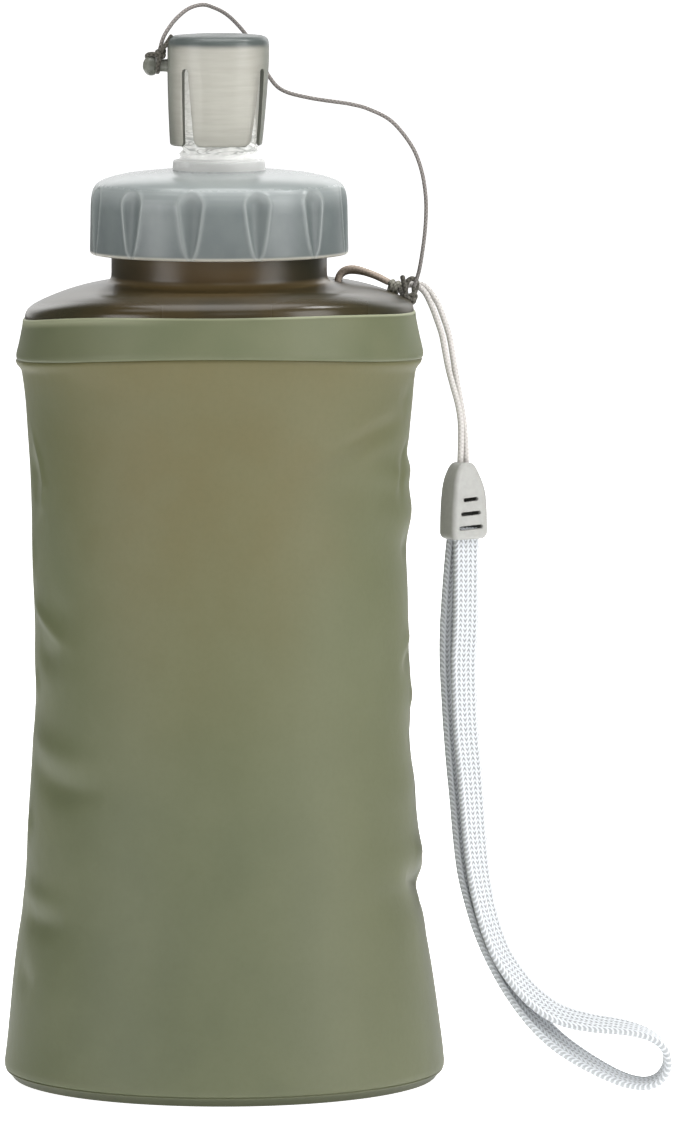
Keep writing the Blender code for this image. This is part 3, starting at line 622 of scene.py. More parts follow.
def silicone_material():
    m = Nodes("valve_silicone")
    x, y, z = m.axes()
    milky = m.mix(m.span(m.noise(0.6, 3.0), 0.3, 0.7), srgb(240, 241, 238), srgb(250, 250, 248))
    # painted shade: the creases of the folds show as thin grey lines
    creases = []
    for scale, level in ((0.50, 0.50), (0.62, 0.46)):
        away = m.math("ABSOLUTE", m.math("SUBTRACT", m.noise(scale, 1.0, 0.4, stretch=(0.42, 0.42, 1.9)), level))
        creases.append(m.span(away, 0.006, 0.060, 1.0, 0.0))
    zone = m.math("MULTIPLY", m.span(z, 168.3, 169.0), m.span(z, 170.6, 174.0, 1.0, 0.25))
    crease_shade = m.math("MULTIPLY", m.math("MAXIMUM", *creases), m.math("MULTIPLY", zone, 0.58))
    milky = m.mix(crease_shade, milky, srgb(140, 142, 138))
    # painted shade: the valve is greyer, and glows less, where the dust cap covers it
    under_cap_shade = m.span(z, 173.0, 178.0)
    milky = m.mix(m.math("MULTIPLY", under_cap_shade, 0.15), milky, srgb(204, 208, 208))
    collar = m.span(z, 167.5, 168.0, 1.0, 0.0)
    milky = m.mix(collar, milky, srgb(206, 207, 205))
    m.set(Base_Color=milky, Roughness=m.span(collar, 0.0, 1.0, 0.10, 0.42))
    m.shader.inputs["Specular IOR Level"].default_value = 0.75
    # painted light: the silicone glows a little of its own, less in the creases, on the collar and under the dust cap
    m.shader.inputs["Emission Color"].default_value = (1.0, 1.0, 0.99, 1.0)
    glow = m.math("SUBTRACT", 0.24, m.math("ADD", m.math("MULTIPLY", crease_shade, 0.30), m.math("MULTIPLY", collar, 0.19)))
    glow = m.math("SUBTRACT", glow, m.math("MULTIPLY", under_cap_shade, 0.035))
    m.set(Emission_Strength=glow)
    m.set(Coat_Weight=m.span(collar, 0.0, 1.0, 0.5, 0.0))
    m.shader.inputs["Coat Roughness"].default_value = 0.08
    fold = m.noise(0.7, 2.0, 0.5, stretch=(0.45, 0.45, 2.0))
    m.set(Normal=m.bump(fold, 0.35, 0.30))
    clear = m.new("ShaderNodeBsdfTransparent")
    clear.inputs["Color"].default_value = (0.97, 0.97, 0.96, 1.0)
    weight = m.new("ShaderNodeLayerWeight")
    weight.inputs["Blend"].default_value = 0.5
    both = m.new("ShaderNodeMixShader")
    m.put(both.inputs[0], m.span(weight.outputs["Facing"], 0.1, 0.95, 0.42, 0.10))
    m.put(both.inputs[1], m.shader.outputs[0])
    m.put(both.inputs[2], clear.outputs[0])
    m.put(m.output.inputs["Surface"], both.outputs[0])
    return m.mat


def plain_plastic(name, one, two, roughness, grain=4.0):
    m = Nodes(name)
    base = m.mix(m.span(m.noise(grain * 0.2, 3.0), 0.3, 0.7), one, two)
    base = m.mix(m.span(m.noise(grain * 1.6, 4.0, 0.65), 0.52, 0.8, 0.0, 0.08), base, tuple(v * 0.7 for v in one))
    m.set(Base_Color=base, Roughness=roughness)
    m.shader.inputs["Specular IOR Level"].default_value = 0.42
    m.set(Normal=m.bump(m.noise(grain * 1.5, 3.0, 0.6), 0.16, 0.04))
    return m.mat


def braided(name, light, dark, turns, pitch, depth=0.10, roughness=0.78, low=None):
    """Cord braid: two families of strands that run round the cord in opposite ways.  The low end can be darker."""
    m = Nodes(name)
    u, v, _ = m.uv()
    around, along = m.math("MULTIPLY", u, float(turns)), m.math("DIVIDE", v, pitch)
    families = []
    for sign in (1.0, -1.0):
        phase = m.math("ADD", m.math("MULTIPLY", around, sign), along)
        wave = m.math("ABSOLUTE", m.math("SINE", m.math("MULTIPLY", phase, math.pi)))
        families.append(m.math("POWER", wave, 0.6))
    height = m.math("MAXIMUM", *families)
    under = m.math("MINIMUM", *families)
    shade = m.span(m.math("ADD", m.math("MULTIPLY", height, 0.6), m.math("MULTIPLY", under, 0.4)), 0.45, 0.98)
    colour = m.mix(shade, dark, light)
    colour = m.mix(m.span(m.noise(3.0, 3.0, 0.6), 0.4, 0.8, 0.0, 0.25), colour, dark)
    if low:
        colour = m.mix(m.span(m.axes()[2], low[0], low[1], 0.65, 0.0), colour, low[2])
    m.set(Base_Color=colour, Roughness=roughness)
    m.shader.inputs["Specular IOR Level"].default_value = 0.25
    m.shader.inputs["Sheen Weight"].default_value = 0.15
    m.set(Normal=m.bump(height, 0.7, depth))
    return m.mat


WEB_COLUMNS, WEB_PITCH, WEB_LEAN = 5, 0.90, 1.5


def webbing_material():
    """Herringbone: columns of slanting strands, with the slant turned from column to column."""
    m = Nodes("webbing_braid")
    u, v, _ = m.uv()
    column = m.math("MULTIPLY", u, float(WEB_COLUMNS))
    inside = m.math("FRACT", column)
    zigzag = m.math("PINGPONG", column, 1.0)
    phase = m.math("ADD", m.math("DIVIDE", v, WEB_PITCH), m.math("MULTIPLY", zigzag, WEB_LEAN))
    strand = m.math("ABSOLUTE", m.math("SINE", m.math("MULTIPLY", phase, math.pi)))
    strand = m.math("POWER", strand, 1.7)
    border = m.math("ABSOLUTE", m.math("SUBTRACT", m.math("MULTIPLY", inside, 2.0), 1.0))
    # the strands bulge in the middle of a column, and the gaps between them open towards its two sides
    gap = m.math("MULTIPLY", m.math("SUBTRACT", 1.0, strand), m.span(border, 0.05, 0.62, 0.22, 0.95))
    height = m.math("SUBTRACT", m.math("SUBTRACT", 1.0, gap), m.span(border, 0.7, 1.0, 0.0, 0.12))
    at_edge = m.math("MINIMUM", u, m.math("SUBTRACT", 1.0, u))
    shade = m.math("MAXIMUM", m.span(height, 0.22, 0.90), m.span(at_edge, 0.0, 0.07, 0.22, 0.0))
    light, dark = srgb(206, 209, 213), srgb(149, 152, 153)
    colour = m.mix(shade, dark, light)
    colour = m.mix(m.span(m.noise(1.6, 3.0), 0.45, 0.8, 0.0, 0.16), colour, srgb(194, 197, 196))
    m.set(Base_Color=colour, Roughness=0.82)
    m.shader.inputs["Specular IOR Level"].default_value = 0.22
    m.shader.inputs["Sheen Weight"].default_value = 0.25
    fibre = m.noise(9.0, 2.0, 0.6)
    m.set(Normal=m.bump(height, 0.65, 0.14, m.bump(fibre, 0.2, 0.04)))
    return m.mat


BAG = bag_material()
BAND = band_material()
SHOULDER = shoulder_material()
CAP = cap_material()
SMOKE = smoke_material()
SILICONE = silicone_material()
SEAL = plain_plastic("seal_silicone", srgb(222, 222, 216), srgb(232, 232, 228), 0.48)
STEM = plain_plastic("stem_plastic", srgb(226, 226, 222), srgb(236, 236, 233), 0.36)
BEAD = plain_plastic("bead_plastic", srgb(156, 156, 152), srgb(161, 161, 157), 0.38, grain=5.0)
ELASTIC = braided("tether_braid", srgb(143, 138, 134), srgb(99, 94, 91), 3, 0.70, depth=0.03, low=(143.5, 154.0, srgb(84, 82, 79)))
CORD_BEIGE = braided("cord_braid_beige", srgb(188, 173, 159), srgb(170, 155, 141), 3, 0.7, depth=0.02)
CORD_PALE = braided("cord_braid_pale", srgb(200, 197, 193), srgb(178, 174, 170), 3, 0.7, depth=0.02)
# painted shade: the knots are drawn in a darker copy of the tether's braid, for the shade inside them
KNOT_SHADED_MAT = braided("knot_braid_shaded", srgb(90, 87, 79), srgb(50, 48, 42), 3, 0.70, depth=0.03)
HITCH_MAT = braided("hitch_braid", srgb(152, 150, 138), srgb(96, 94, 84), 3, 0.9, depth=0.04)
WEBBING_MAT = webbing_material()

# ================================================================ shared shape of the shoulder's rim
SADDLE = 2.5


def saddle(points):
    """Lifts the rim in front and behind, and a little on the right."""
    x, y, z = points[..., 0], points[..., 1], points[..., 2]
    radius = np.maximum(np.hypot(x, y), 1e-6)
    share = eased(z, 95.0, 128.0) * eased(radius, 21.5, 32.0)
    lift = SADDLE * share * (y / radius) ** 2
    tilt = 1.0 * eased(z, 126.5, 139.5) * eased(radius, 23.0, 33.0) * ((1 + x / radius) / 2) ** 1.5 * (1 - (y / radius) ** 2 * 0.55)
    front = (y / radius) ** 2
    line = (-0.35 + 2.21 * front - 2.36 * front ** 2) * eased(z, 133.0, 139.0) * eased(radius, 23.0, 33.0)
    up = eased(z, 133.0, 139.0) * (1 - eased(z, 139.6, 141.8)) * eased(radius, 31.5, 34.5)
    line = line + 0.42 * np.maximum(x / radius, 0.0) ** 6 * up
    out = points.copy()
    out[..., 2] = z + lift + tilt + line
    return out


# ================================================================ soft bag
# height, then how far the outline is from the axis on the left and on the right
OUTLINE = np.array([
    (3.0, 39.35, 40.95), (6.4, 38.94, 40.60), (10.1, 38.57, 40.10), (17.5, 37.81, 39.05), (24.9, 36.87, 38.05),
    (30.4, 36.10, 37.30), (32.8, 35.90, 36.55), (35.3, 35.65, 36.15), (38.4, 35.42, 36.60), (41.0, 35.30, 36.70),
    (45.5, 35.05, 35.95), (50.0, 34.72, 35.55), (54.3, 34.41, 35.45), (58.0, 34.18, 35.00), (62.2, 34.02, 34.72),
    (65.5, 33.80, 34.65), (70.4, 33.62, 34.80), (77.0, 33.75, 34.42), (82.0, 33.60, 34.45), (87.3, 33.66, 34.52),
    (92.0, 33.88, 34.38), (97.5, 34.05, 34.05), (104.0, 34.10, 34.72), (108.5, 34.20, 34.30), (111.5, 34.30, 34.62),
    (114.0, 34.45, 34.15), (117.5, 34.72, 34.62), (121.0, 35.00, 34.95), (124.7, 35.30, 35.20), (127.4, 35.60, 35.38),
    (129.4, 35.92, 35.72), (131.5, 36.62, 36.50), (132.3, 34.90, 34.80), (133.2, 34.65, 34.65), (137.5, 34.65, 34.65),
])

# Folds: a line of (degrees round, height), half width, height over the film.  270 degrees is the front.
FOLDS = [
    # left side of the front
    ([(188, 88.0), (195, 86.4), (202, 84.8), (210, 82.6), (218, 80.8)], 1.15, 0.46),
    ([(195, 80.0), (204, 78.6), (213, 78.2)], 2.4, -0.60),
    ([(203, 89.0), (212, 86.4), (221, 85.2)], 2.8, -0.30),
    ([(189, 63.6), (198, 62.2), (208, 61.2), (218, 60.6), (229, 60.0)], 2.3, 0.50),
    ([(197, 57.0), (206, 55.8), (216, 55.0), (226, 55.0), (234, 55.8)], 2.3, -0.75),
    ([(188, 36.0), (196, 34.8), (206, 34.3), (217, 34.2)], 2.0, 0.38),
    ([(194, 31.0), (203, 30.3), (212, 30.2), (220, 31.0)], 2.1, -0.55),
    ([(194, 119.0), (201, 113.5), (203.5, 109.5), (201.5, 106.0), (196, 103.5)], 0.9, 0.40),
    ([(190, 115.0), (195, 110.5), (193, 105.5)], 2.4, -0.55),
    ([(224, 134.0), (231, 131.6), (239, 129.3), (246, 126.4)], 2.6, 0.35),
    ([(222, 128.0), (232, 125.5), (242, 123.5)], 3.0, -0.25),
    ([(190, 76.0), (192, 72.5), (190, 69.5)], 1.4, 0.40),
    ([(189, 50.5), (191, 46.5), (189, 42.5)], 1.5, 0.40),
    ([(188, 99.0), (190, 95.0), (188, 91.5)], 1.4, 0.30),
    ([(193, 22.0), (201, 19.5), (207, 18.5)], 2.4, -0.35),
    # right side of the front
    ([(342, 121.4), (332, 120.0), (323, 118.7), (313, 116.2), (303, 114.2), (293, 112.6)], 1.6, -0.60),
    ([(335, 117.6), (322, 115.8), (310, 113.4), (298, 110.8), (288, 109.0)], 2.0, 0.40),
    ([(352, 117.0), (347, 113.8), (342.6, 111.2), (342, 107.5)], 1.2, -0.70),
    ([(339, 113.5), (337, 110.0), (338, 107.0)], 1.3, 0.35),
    ([(358, 98.5), (353, 97.4), (347, 96.8)], 2.2, -0.50),
    ([(357, 78.2), (350, 77.0), (344, 75.4)], 1.5, -0.60),
    ([(357, 81.5), (350, 80.5), (345, 79.5)], 1.6, 0.35),
    ([(358, 70.5), (352, 70.0)], 2.0, 0.35),
    ([(359, 63.2), (354, 62.6), (350, 61.8)], 1.0, -0.40),
    ([(358, 53.5), (352, 52.0)], 1.9, -0.35),
    ([(359, 41.6), (352, 42.0), (347, 43.0)], 2.0, 0.50),
    ([(359, 37.4), (353, 36.6), (345, 37.4), (339, 38.6)], 1.5, -0.85),
    ([(358, 33.4), (350, 32.8)], 1.6, 0.30),
    ([(350, 126.0), (343, 124.5), (337, 125.5)], 1.6, -0.35),
    # very soft swells across the front
    ([(255, 96.0), (262, 84.0), (268, 70.0)], 9.0, 0.22),
    ([(285, 60.0), (290, 44.0), (300, 30.0)], 8.0, -0.20),
    ([(236, 44.0), (246, 30.0), (258, 20.0)], 8.0, -0.20),
    ([(300, 100.0), (308, 84.0), (318, 70.0)], 8.0, 0.20),
]


def around_back(folds):
    """The same kind of folds behind, lower and a little weaker."""
    out = []
    for line, width, height in folds:
        if height and abs(height) > 0.3:
            out.append(([((360 - a) % 360, z - 4.5 + 2.0 * math.sin(a)) for a, z in line], width * 1.1, height * 0.8))
    return out


FOLDS += around_back(FOLDS)


def fold_height(angle, z):
    """Height of the film over its plain shape, at angles in degrees and heights in millimetres."""
    total = np.zeros(np.broadcast(angle, z).shape)
    for line, width, height in FOLDS:
        middle = line[len(line) // 2][0]
        turn = lambda a: (np.asarray(a) - middle + 180) % 360 - 180
        s = turn(angle) * (math.pi / 180 * 35)
        points = np.array([(turn(a) * (math.pi / 180 * 35), h) for a, h in line], float)
        low, high = points.min(0) - 4 * width, points.max(0) + 4 * width
        near = (s > low[0]) & (s < high[0]) & (z > low[1]) & (z < high[1])
        if not near.any():
            continue
        ss, zz = np.broadcast_to(s, total.shape)[near], np.broadcast_to(z, total.shape)[near]
        steps = np.linalg.norm(np.diff(points, axis=0), axis=1)
        run, best, where = 0.0, np.full(ss.shape, 1e9), np.zeros(ss.shape)
        for k in range(len(points) - 1):
            a, b = points[k], points[k + 1]
            t = np.clip(((ss - a[0]) * (b - a)[0] + (zz - a[1]) * (b - a)[1]) / steps[k] ** 2, 0, 1)
            d = np.hypot(ss - a[0] - t * (b - a)[0], zz - a[1] - t * (b - a)[1])
            closer = d < best
            best = np.where(closer, d, best)
            where = np.where(closer, run + t * steps[k], where)
            run += steps[k]
        along = where / run
        fade = np.sin(np.pi * np.clip(along, 0.04, 0.96)) ** 0.7
        total[near] += height * np.exp(-((best / width) ** 2) / 1.3) * fade
    return total


WAVES = [(rng.uniform(0, 2 * np.pi), k, rng.uniform(0.012, 0.06), rng.uniform(0.03, 0.075)) for k in (2, 3, 3, 4, 5, 5, 6, 7, 8)]


def swell(angle, z):
    """Slow unevenness of the soft wall."""
    a = np.radians(angle)
    total = 0.0
    for phase, k, rate, size in WAVES:
        total = total + size * np.sin(k * a + phase + z * rate * 2 * np.pi * 0.6)
    return total * eased(z, 4.0, 30.0) * (1 - eased(z, 118.0, 130.0))


def bag_rings(heights, segments, inset):
    angle = np.linspace(0, 360, segments, endpoint=False)[None, :]
    z = np.asarray(heights, float)[:, None]
    a = np.radians(angle)
    left, right = (np.interp(z, OUTLINE[:, 0], CALM[:, k]) for k in (1, 2))
    middle, half = (right - left) / 2, (right + left) / 2
    deep = half * 0.985
    near_left, near_right = np.maximum(-np.cos(a), 0) ** 5, np.maximum(np.cos(a), 0) ** 5
    ripple = near_left * np.interp(z, OUTLINE[:, 0], OUTLINE[:, 1] - CALM[:, 1])
    ripple = ripple + near_right * np.interp(z, OUTLINE[:, 0], OUTLINE[:, 2] - CALM[:, 2])
    extra = fold_height(angle, z) + swell(angle, z) + ripple - inset
    x = middle + (half + extra) * np.cos(a)
    y = (deep + extra) * np.sin(a)
    return np.stack([x, y, z + 0 * a], axis=-1)


def smooth_outline():
    """The outline read smoothly, so that it has no corners between its rows."""
    global OUTLINE
    z = OUTLINE[:, 0]
    fine = np.concatenate([np.arange(3.0, 131.6, 0.5), z[z > 131.6]])
    out = [fine]
    for k in (1, 2):
        slope = np.gradient(OUTLINE[:, k], z)
        values = []
        for h in fine:
            i = min(len(z) - 2, max(0, np.searchsorted(z, h) - 1))
            step = z[i + 1] - z[i]
            t = (h - z[i]) / step
            h00, h10 = 2 * t ** 3 - 3 * t ** 2 + 1, t ** 3 - 2 * t ** 2 + t
            h01, h11 = -2 * t ** 3 + 3 * t ** 2, t ** 3 - t ** 2
            values.append(h00 * OUTLINE[i, k] + h10 * step * slope[i] + h01 * OUTLINE[i + 1, k] + h11 * step * slope[i + 1])
        out.append(np.where(fine > 131.5, np.interp(fine, z, OUTLINE[:, k]), values))
    OUTLINE = np.stack(out, axis=1)


smooth_outline()


def calm_outline():
    """The outline without its ripples, which belong to the two sides only."""
    z = OUTLINE[:, 0]
    wall = (z > 4.0) & (z < 131.4)
    kernel = np.exp(-0.5 * (np.arange(-36, 37) * 0.5 / 6.5) ** 2)
    kernel /= kernel.sum()
    out = OUTLINE.copy()
    for k in (1, 2):
        values = OUTLINE[wall, k]
        ends = (2 * values[0] - values[36:0:-1], 2 * values[-1] - values[-2:-38:-1])
        out[wall, k] = np.convolve(np.concatenate([ends[0], values, ends[1]]), kernel, mode="valid")
    return out


CALM = calm_outline()
BAG_SEGMENTS = 320
outer_heights = np.concatenate([
    [137.4, 136.0, 134.5, 133.4, 132.9, 132.5, 132.2, 131.95, 131.7, 131.5],
    np.arange(131.05, 3.0, -0.5), [2.9],
])
outer = bag_rings(outer_heights, BAG_SEGMENTS, 0.0)


def foot_ring(radius_change, z, lower=0.0):
    """A ring below the wall: the lowest ring of the wall moved in by so much."""
    ring = bag_rings([3.0], BAG_SEGMENTS, radius_change)[0]
    ring[:, 2] = z
    return ring


foot = [
    foot_ring(0.02, 2.5), foot_ring(0.05, 2.15), foot_ring(0.20, 1.92), foot_ring(0.34, 1.84), foot_ring(0.30, 1.74),
    foot_ring(0.22, 1.64), foot_ring(0.34, 1.48), foot_ring(0.75, 1.15), foot_ring(1.15, 0.70), foot_ring(1.50, 0.22),
    foot_ring(1.70, 0.06), foot_ring(1.90, 0.0), foot_ring(2.9, 0.0), foot_ring(3.15, 0.08), foot_ring(3.25, 0.35),
    foot_ring(3.25, 2.2), foot_ring(3.0, 2.6), foot_ring(2.2, 3.3),
]
inner_heights = np.concatenate([[4.6, 6.5, 9.0], np.arange(12.0, 130.0, 1.6), [131.0, 132.0, 133.0, 135.5, 137.4]])
inner = bag_rings(inner_heights, BAG_SEGMENTS, 0.8)
bag_points = saddle(np.concatenate([outer, np.array(foot), inner]))
bag = piece("bag_wall_soft", ring_mesh("bag_wall_soft", bag_points, loop=True), BAG, 50.0)
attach(bag, "bottle")
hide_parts("bag_wall")
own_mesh(bag)

# the closing disc keeps its CAD shape
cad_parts["base_disc"].data.materials.clear()
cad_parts["base_disc"].data.materials.append(BAG)
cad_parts["cap_gasket"].data.materials.clear()
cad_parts["cap_gasket"].data.materials.append(SEAL)

# ================================================================ weld band
band_profile = rounded(
    [(35.02, 138.95), (35.24, 139.06), (35.50, 138.98), (35.66, 138.66), (35.66, 138.3), (35.78, 137.5), (36.10, 135.9),
     (36.45, 134.3), (36.76, 133.05), (36.92, 132.4), (36.94, 131.85), (36.86, 131.50), (36.66, 131.32), (35.02, 131.32)],
    [0.05, 0.12, 0.15, 0.15, 0.12, 0.5, 0.8, 0.8, 0.5, 0.25, 0.2, 0.15, 0.12, 0.1],
)


def band_shape(points):
    points = saddle(points)
    angle = np.arctan2(points[..., 1], points[..., 0])
    flare = eased(136.5 - (points[..., 2] - 2.0), 0.0, 5.0)
    wave = 0.07 * np.sin(5 * angle + 0.7) + 0.05 * np.sin(9 * angle + 2.1)
    scale = 1 + wave * flare / 36.0
    points[..., 0] *= scale
    points[..., 1] *= scale
    return points


band = piece("weld_band_soft", lathe("weld_band_soft", densified(band_profile, 1.2), 256, band_shape), BAND, 60.0)
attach(band, "bottle")
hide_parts("weld_band")

# ================================================================ shoulder and neck
dome = smooth_line([
    (19.55, 147.2), (19.62, 146.3), (19.95, 145.65), (20.7, 145.22), (23.3, 144.62), (26.9, 143.80), (29.6, 143.02),
    (32.0, 142.18), (33.4, 141.60),
], 6)
shoulder_profile = (
    [(17.95, 161.0), (19.15, 161.0), (19.42, 160.9), (19.55, 160.6), (19.55, 150.0)]
    + dome
    + [(34.2, 141.18), (34.76, 140.70), (35.10, 140.10), (35.25, 139.5), (35.30, 138.9), (35.28, 138.66), (35.12, 138.56),
       (33.65, 138.54), (33.6, 138.3), (33.6, 128.8), (33.4, 128.5), (32.2, 128.5), (32.0, 128.7), (32.0, 138.2),
       (31.2, 139.9), (28.8, 141.2), (26.0, 142.1), (22.6, 142.9), (18.6, 143.4), (17.55, 144.3), (17.55, 160.6)]
)
shoulder = piece("shoulder_shell", lathe("shoulder_shell", densified(shoulder_profile, 3.0), 200, saddle), SHOULDER, 40.0)

# thread under the cap
PITCH = 4.0


def helix(radius, start_z, turns, start_turn, per_turn=60):
    t = np.linspace(0, turns, int(turns * per_turn) + 1)
    a = 2 * np.pi * (start_turn + t)
    return np.stack([radius * np.cos(a), radius * np.sin(a), start_z + PITCH * t], axis=1)


def ridge_taper(t):
    return 0.35 + 0.65 * np.minimum(eased(t, 0, 0.06), eased(1 - t, 0, 0.06))


EYE = np.array([21.5, 12.9, 144.35])
eye_boss = box_mesh((5.0, 9.6, 3.6), Matrix.Translation(Vector((EYE[0], EYE[1], 141.0)) * MM))
eye_angle = np.linspace(0, 2 * np.pi, 32, endpoint=False)
eye_ring = np.stack([EYE[0] + 0 * eye_angle, EYE[1] + 2.6 * np.cos(eye_angle), EYE[2] + 2.6 * np.sin(eye_angle)], axis=1)
cut(shoulder, [eye_boss, tube("ridge", helix(19.55, 153.7, 1.5, 0.014), 0.95, 12, taper=ridge_taper)], "UNION")
cut(shoulder, [tube("eye", eye_ring, 1.0, 20, closed=True)])
piece_mesh = shoulder.data
piece_mesh.shade_smooth()
piece_mesh.set_sharp_from_angle(angle=math.radians(38))
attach(shoulder, "bottle")
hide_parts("shoulder")

# ================================================================ screw cap


def flutes(points):
    """Teardrop grips: a round top end, sides that close like a parabola, and a point at the lower edge."""
    x, y, z = points[..., 0], points[..., 1], points[..., 2]
    radius, angle = np.hypot(x, y), np.arctan2(y, x)
    step = 2 * np.pi / FLUTES
    away = (angle - math.radians(FLUTE_PHASE - 90) + step / 2) % step - step / 2
    s = np.abs(CAP_R * away)
    t = np.clip((z - FLUTE_TIP) / (FLUTE_TOP - FLUTE_TIP), 0, 1)
    half = FLUTE_HALF * np.sqrt(np.maximum(t, 1e-4))
    over = np.maximum(z - FLUTE_TOP, 0) / (FLUTE_HALF * 1.05)
    u = np.sqrt((s / half) ** 2 + over ** 2)
    depth = FLUTE_DEEP * t ** 0.65 * np.maximum(1 - u ** 2, 0) ** 1.35
    lip = 0.15 * np.exp(-((((u - 1) * half - 0.16) / 0.40) ** 2)) * eased(half, 0.5, 1.0)
    outside = eased(radius, 21.9, 22.7) + eased(z, 162.0, 163.0) * eased(radius, 20.6, 21.6)
    new = radius - (depth - lip) * np.clip(outside, 0, 1)
    out = points.copy()
    out[..., 0], out[..., 1] = x * new / np.maximum(radius, 1e-6), y * new / np.maximum(radius, 1e-6)
    return out


cap_side = smooth_line([(22.45, 162.85), (22.82, 162.2), (23.06, 161.4), (23.20, 160.4), (23.28, 159.0), (23.36, 155.0), (23.44, 151.3)], 1)
cap_side = densified(cap_side, 0.22, closed=False)
cap_profile = (
    [(5.5, 165.5), (5.62, 165.6), (8.7, 165.6), (13.0, 165.34), (16.9, 164.90), (19.4, 164.36), (20.6, 163.98),
     (21.2, 163.74), (21.7, 163.48), (22.1, 163.2)]
    + cap_side
    + [(23.42, 150.85), (23.32, 150.58), (23.1, 150.44), (22.8, 150.4), (21.4, 150.4), (21.2, 150.6),
       (21.2, 162.6), (5.5, 162.6)]
)
cap = piece("screw_cap_shell", ring_mesh("screw_cap_shell", lathe_rings(cap_profile, 720, flutes), loop=True), CAP, 32.0)
cut(cap, [tube("ridge", helix(21.25, 151.7, 1.25, 0.006), 1.15, 12, taper=ridge_taper)], "UNION")
cap.data.shade_smooth()
cap.data.set_sharp_from_angle(angle=math.radians(40))
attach(cap, "cap")
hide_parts("screw_cap")

# ================================================================ spout and bite valve
stem = piece(
    "spout_stem_fine",
    lathe("spout_stem_fine", rounded(
        [(3.4, 174.0), (4.3, 174.0), (5.15, 172.2), (5.0, 171.8), (5.0, 162.3), (9.0, 162.3), (9.0, 161.3), (3.4, 161.3)],
        [0.2, 0.3, 0.15, 0.1, 0.3, 0.2, 0.2, 0.2]), 96),
    STEM,
)
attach(stem, "cap")
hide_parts("spout_stem")


def valve_folds(points):
    """The skirt of the valve is pinched into uneven folds just above its collar."""
    x, y, z = points[..., 0], points[..., 1], points[..., 2]
    radius, angle = np.hypot(x, y), np.arctan2(y, x)
    zone = eased(z, 168.0, 168.5) * (1 - eased(z, 170.4, 173.4)) * (radius > 5.9)
    wave = (
        0.24 * np.sin(3 * angle + 0.5 + 2.9 * z) + 0.17 * np.sin(7 * angle + 1.7 - 3.6 * z)
        + 0.12 * np.sin(13 * angle + 0.2 + 5.0 * z) + 0.08 * np.sin(23 * angle - 2.0 * z)
    )
    new = np.minimum(radius + zone * (wave - 0.10), np.where(z > 169.9, 7.2, 99))
    tip = eased(z, 180.0, 185.0)
    out = points.copy()
    out[..., 0] = x * new / np.maximum(radius, 1e-6)
    out[..., 1] = y * new / np.maximum(radius, 1e-6)
    out[..., 2] = z - tip * 0.12 * np.cos(2 * angle) * (radius > 3)
    return out


valve_out = smooth_line([(0.15, 185.2), (2.0, 185.18), (3.6, 185.05), (5.2, 184.45), (6.05, 183.2), (6.35, 181.2), (6.5, 176.0), (6.85, 172.0),
                         (6.95, 170.4), (6.95, 169.4), (6.98, 168.2), (7.08, 167.45), (7.45, 167.08), (8.0, 166.98)], 6)
valve_profile = (
    valve_out
    + [(8.2, 166.92), (8.33, 166.7), (8.37, 166.4), (8.39, 165.9), (8.42, 165.35), (8.42, 165.16), (7.8, 165.16), (5.6, 165.16),
       (5.45, 165.35), (5.45, 174.6), (4.7, 175.4), (4.7, 182.8), (4.3, 183.3), (2.5, 183.7), (0.15, 183.8)]
)
valve_profile = [(r, z + 0.45) for r, z in valve_profile]
valve = piece("bite_valve_clear", ring_mesh("bite_valve_clear", lathe_rings(valve_profile, 144, valve_folds)), SILICONE, 50.0)
cut(valve, [box_mesh((6.0, 0.5, 4.0), Matrix.Translation((0.0, 0.0, 184.5 * MM)))])
valve.data.shade_smooth()
valve.data.set_sharp_from_angle(angle=math.radians(45))
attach(valve, "cap")
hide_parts("bite_valve")

# ================================================================ dust cap
dust_out = smooth_line([(9.20, 187.6), (9.18, 184.0), (9.04, 180.0), (8.82, 176.0), (8.55, 172.0), (8.38, 169.95)], 5)
dust_in = smooth_line([(7.78, 169.95), (7.95, 172.0), (8.18, 176.0), (8.34, 180.0), (8.44, 184.0), (8.44, 187.2)], 5)
dust_profile = (
    [(0.12, 189.62), (5.0, 189.56), (7.9, 189.32), (8.55, 189.12), (8.95, 188.75), (9.15, 188.25)]
    + dust_out
    + [(8.32, 169.70), (8.22, 169.54), (8.08, 169.48), (7.94, 169.54), (7.84, 169.70)]
    + dust_in
    + [(8.35, 187.55), (8.0, 187.8), (0.12, 187.8)]
)
DUST_UP = 0.6
dust_profile = [(r, z + DUST_UP) for r, z in dust_profile]
dust_cap = piece("dust_cap_smoke", ring_mesh("dust_cap_smoke", lathe_rings(dust_profile, 160)), SMOKE, 40.0)


def radial_prism(outline, angle, near=5.0, far=12.5, at=8.7):
    """A closed wedge: an outline of (millimetres round, height) pushed out from near to far."""
    rings = []
    for radius in (near, far):
        a = [angle + s / at for s, _ in outline]
        rings.append([(radius * math.cos(t), radius * math.sin(t), z) for t, (_, z) in zip(a, outline)])
    return ring_mesh("wedge", np.array(rings))


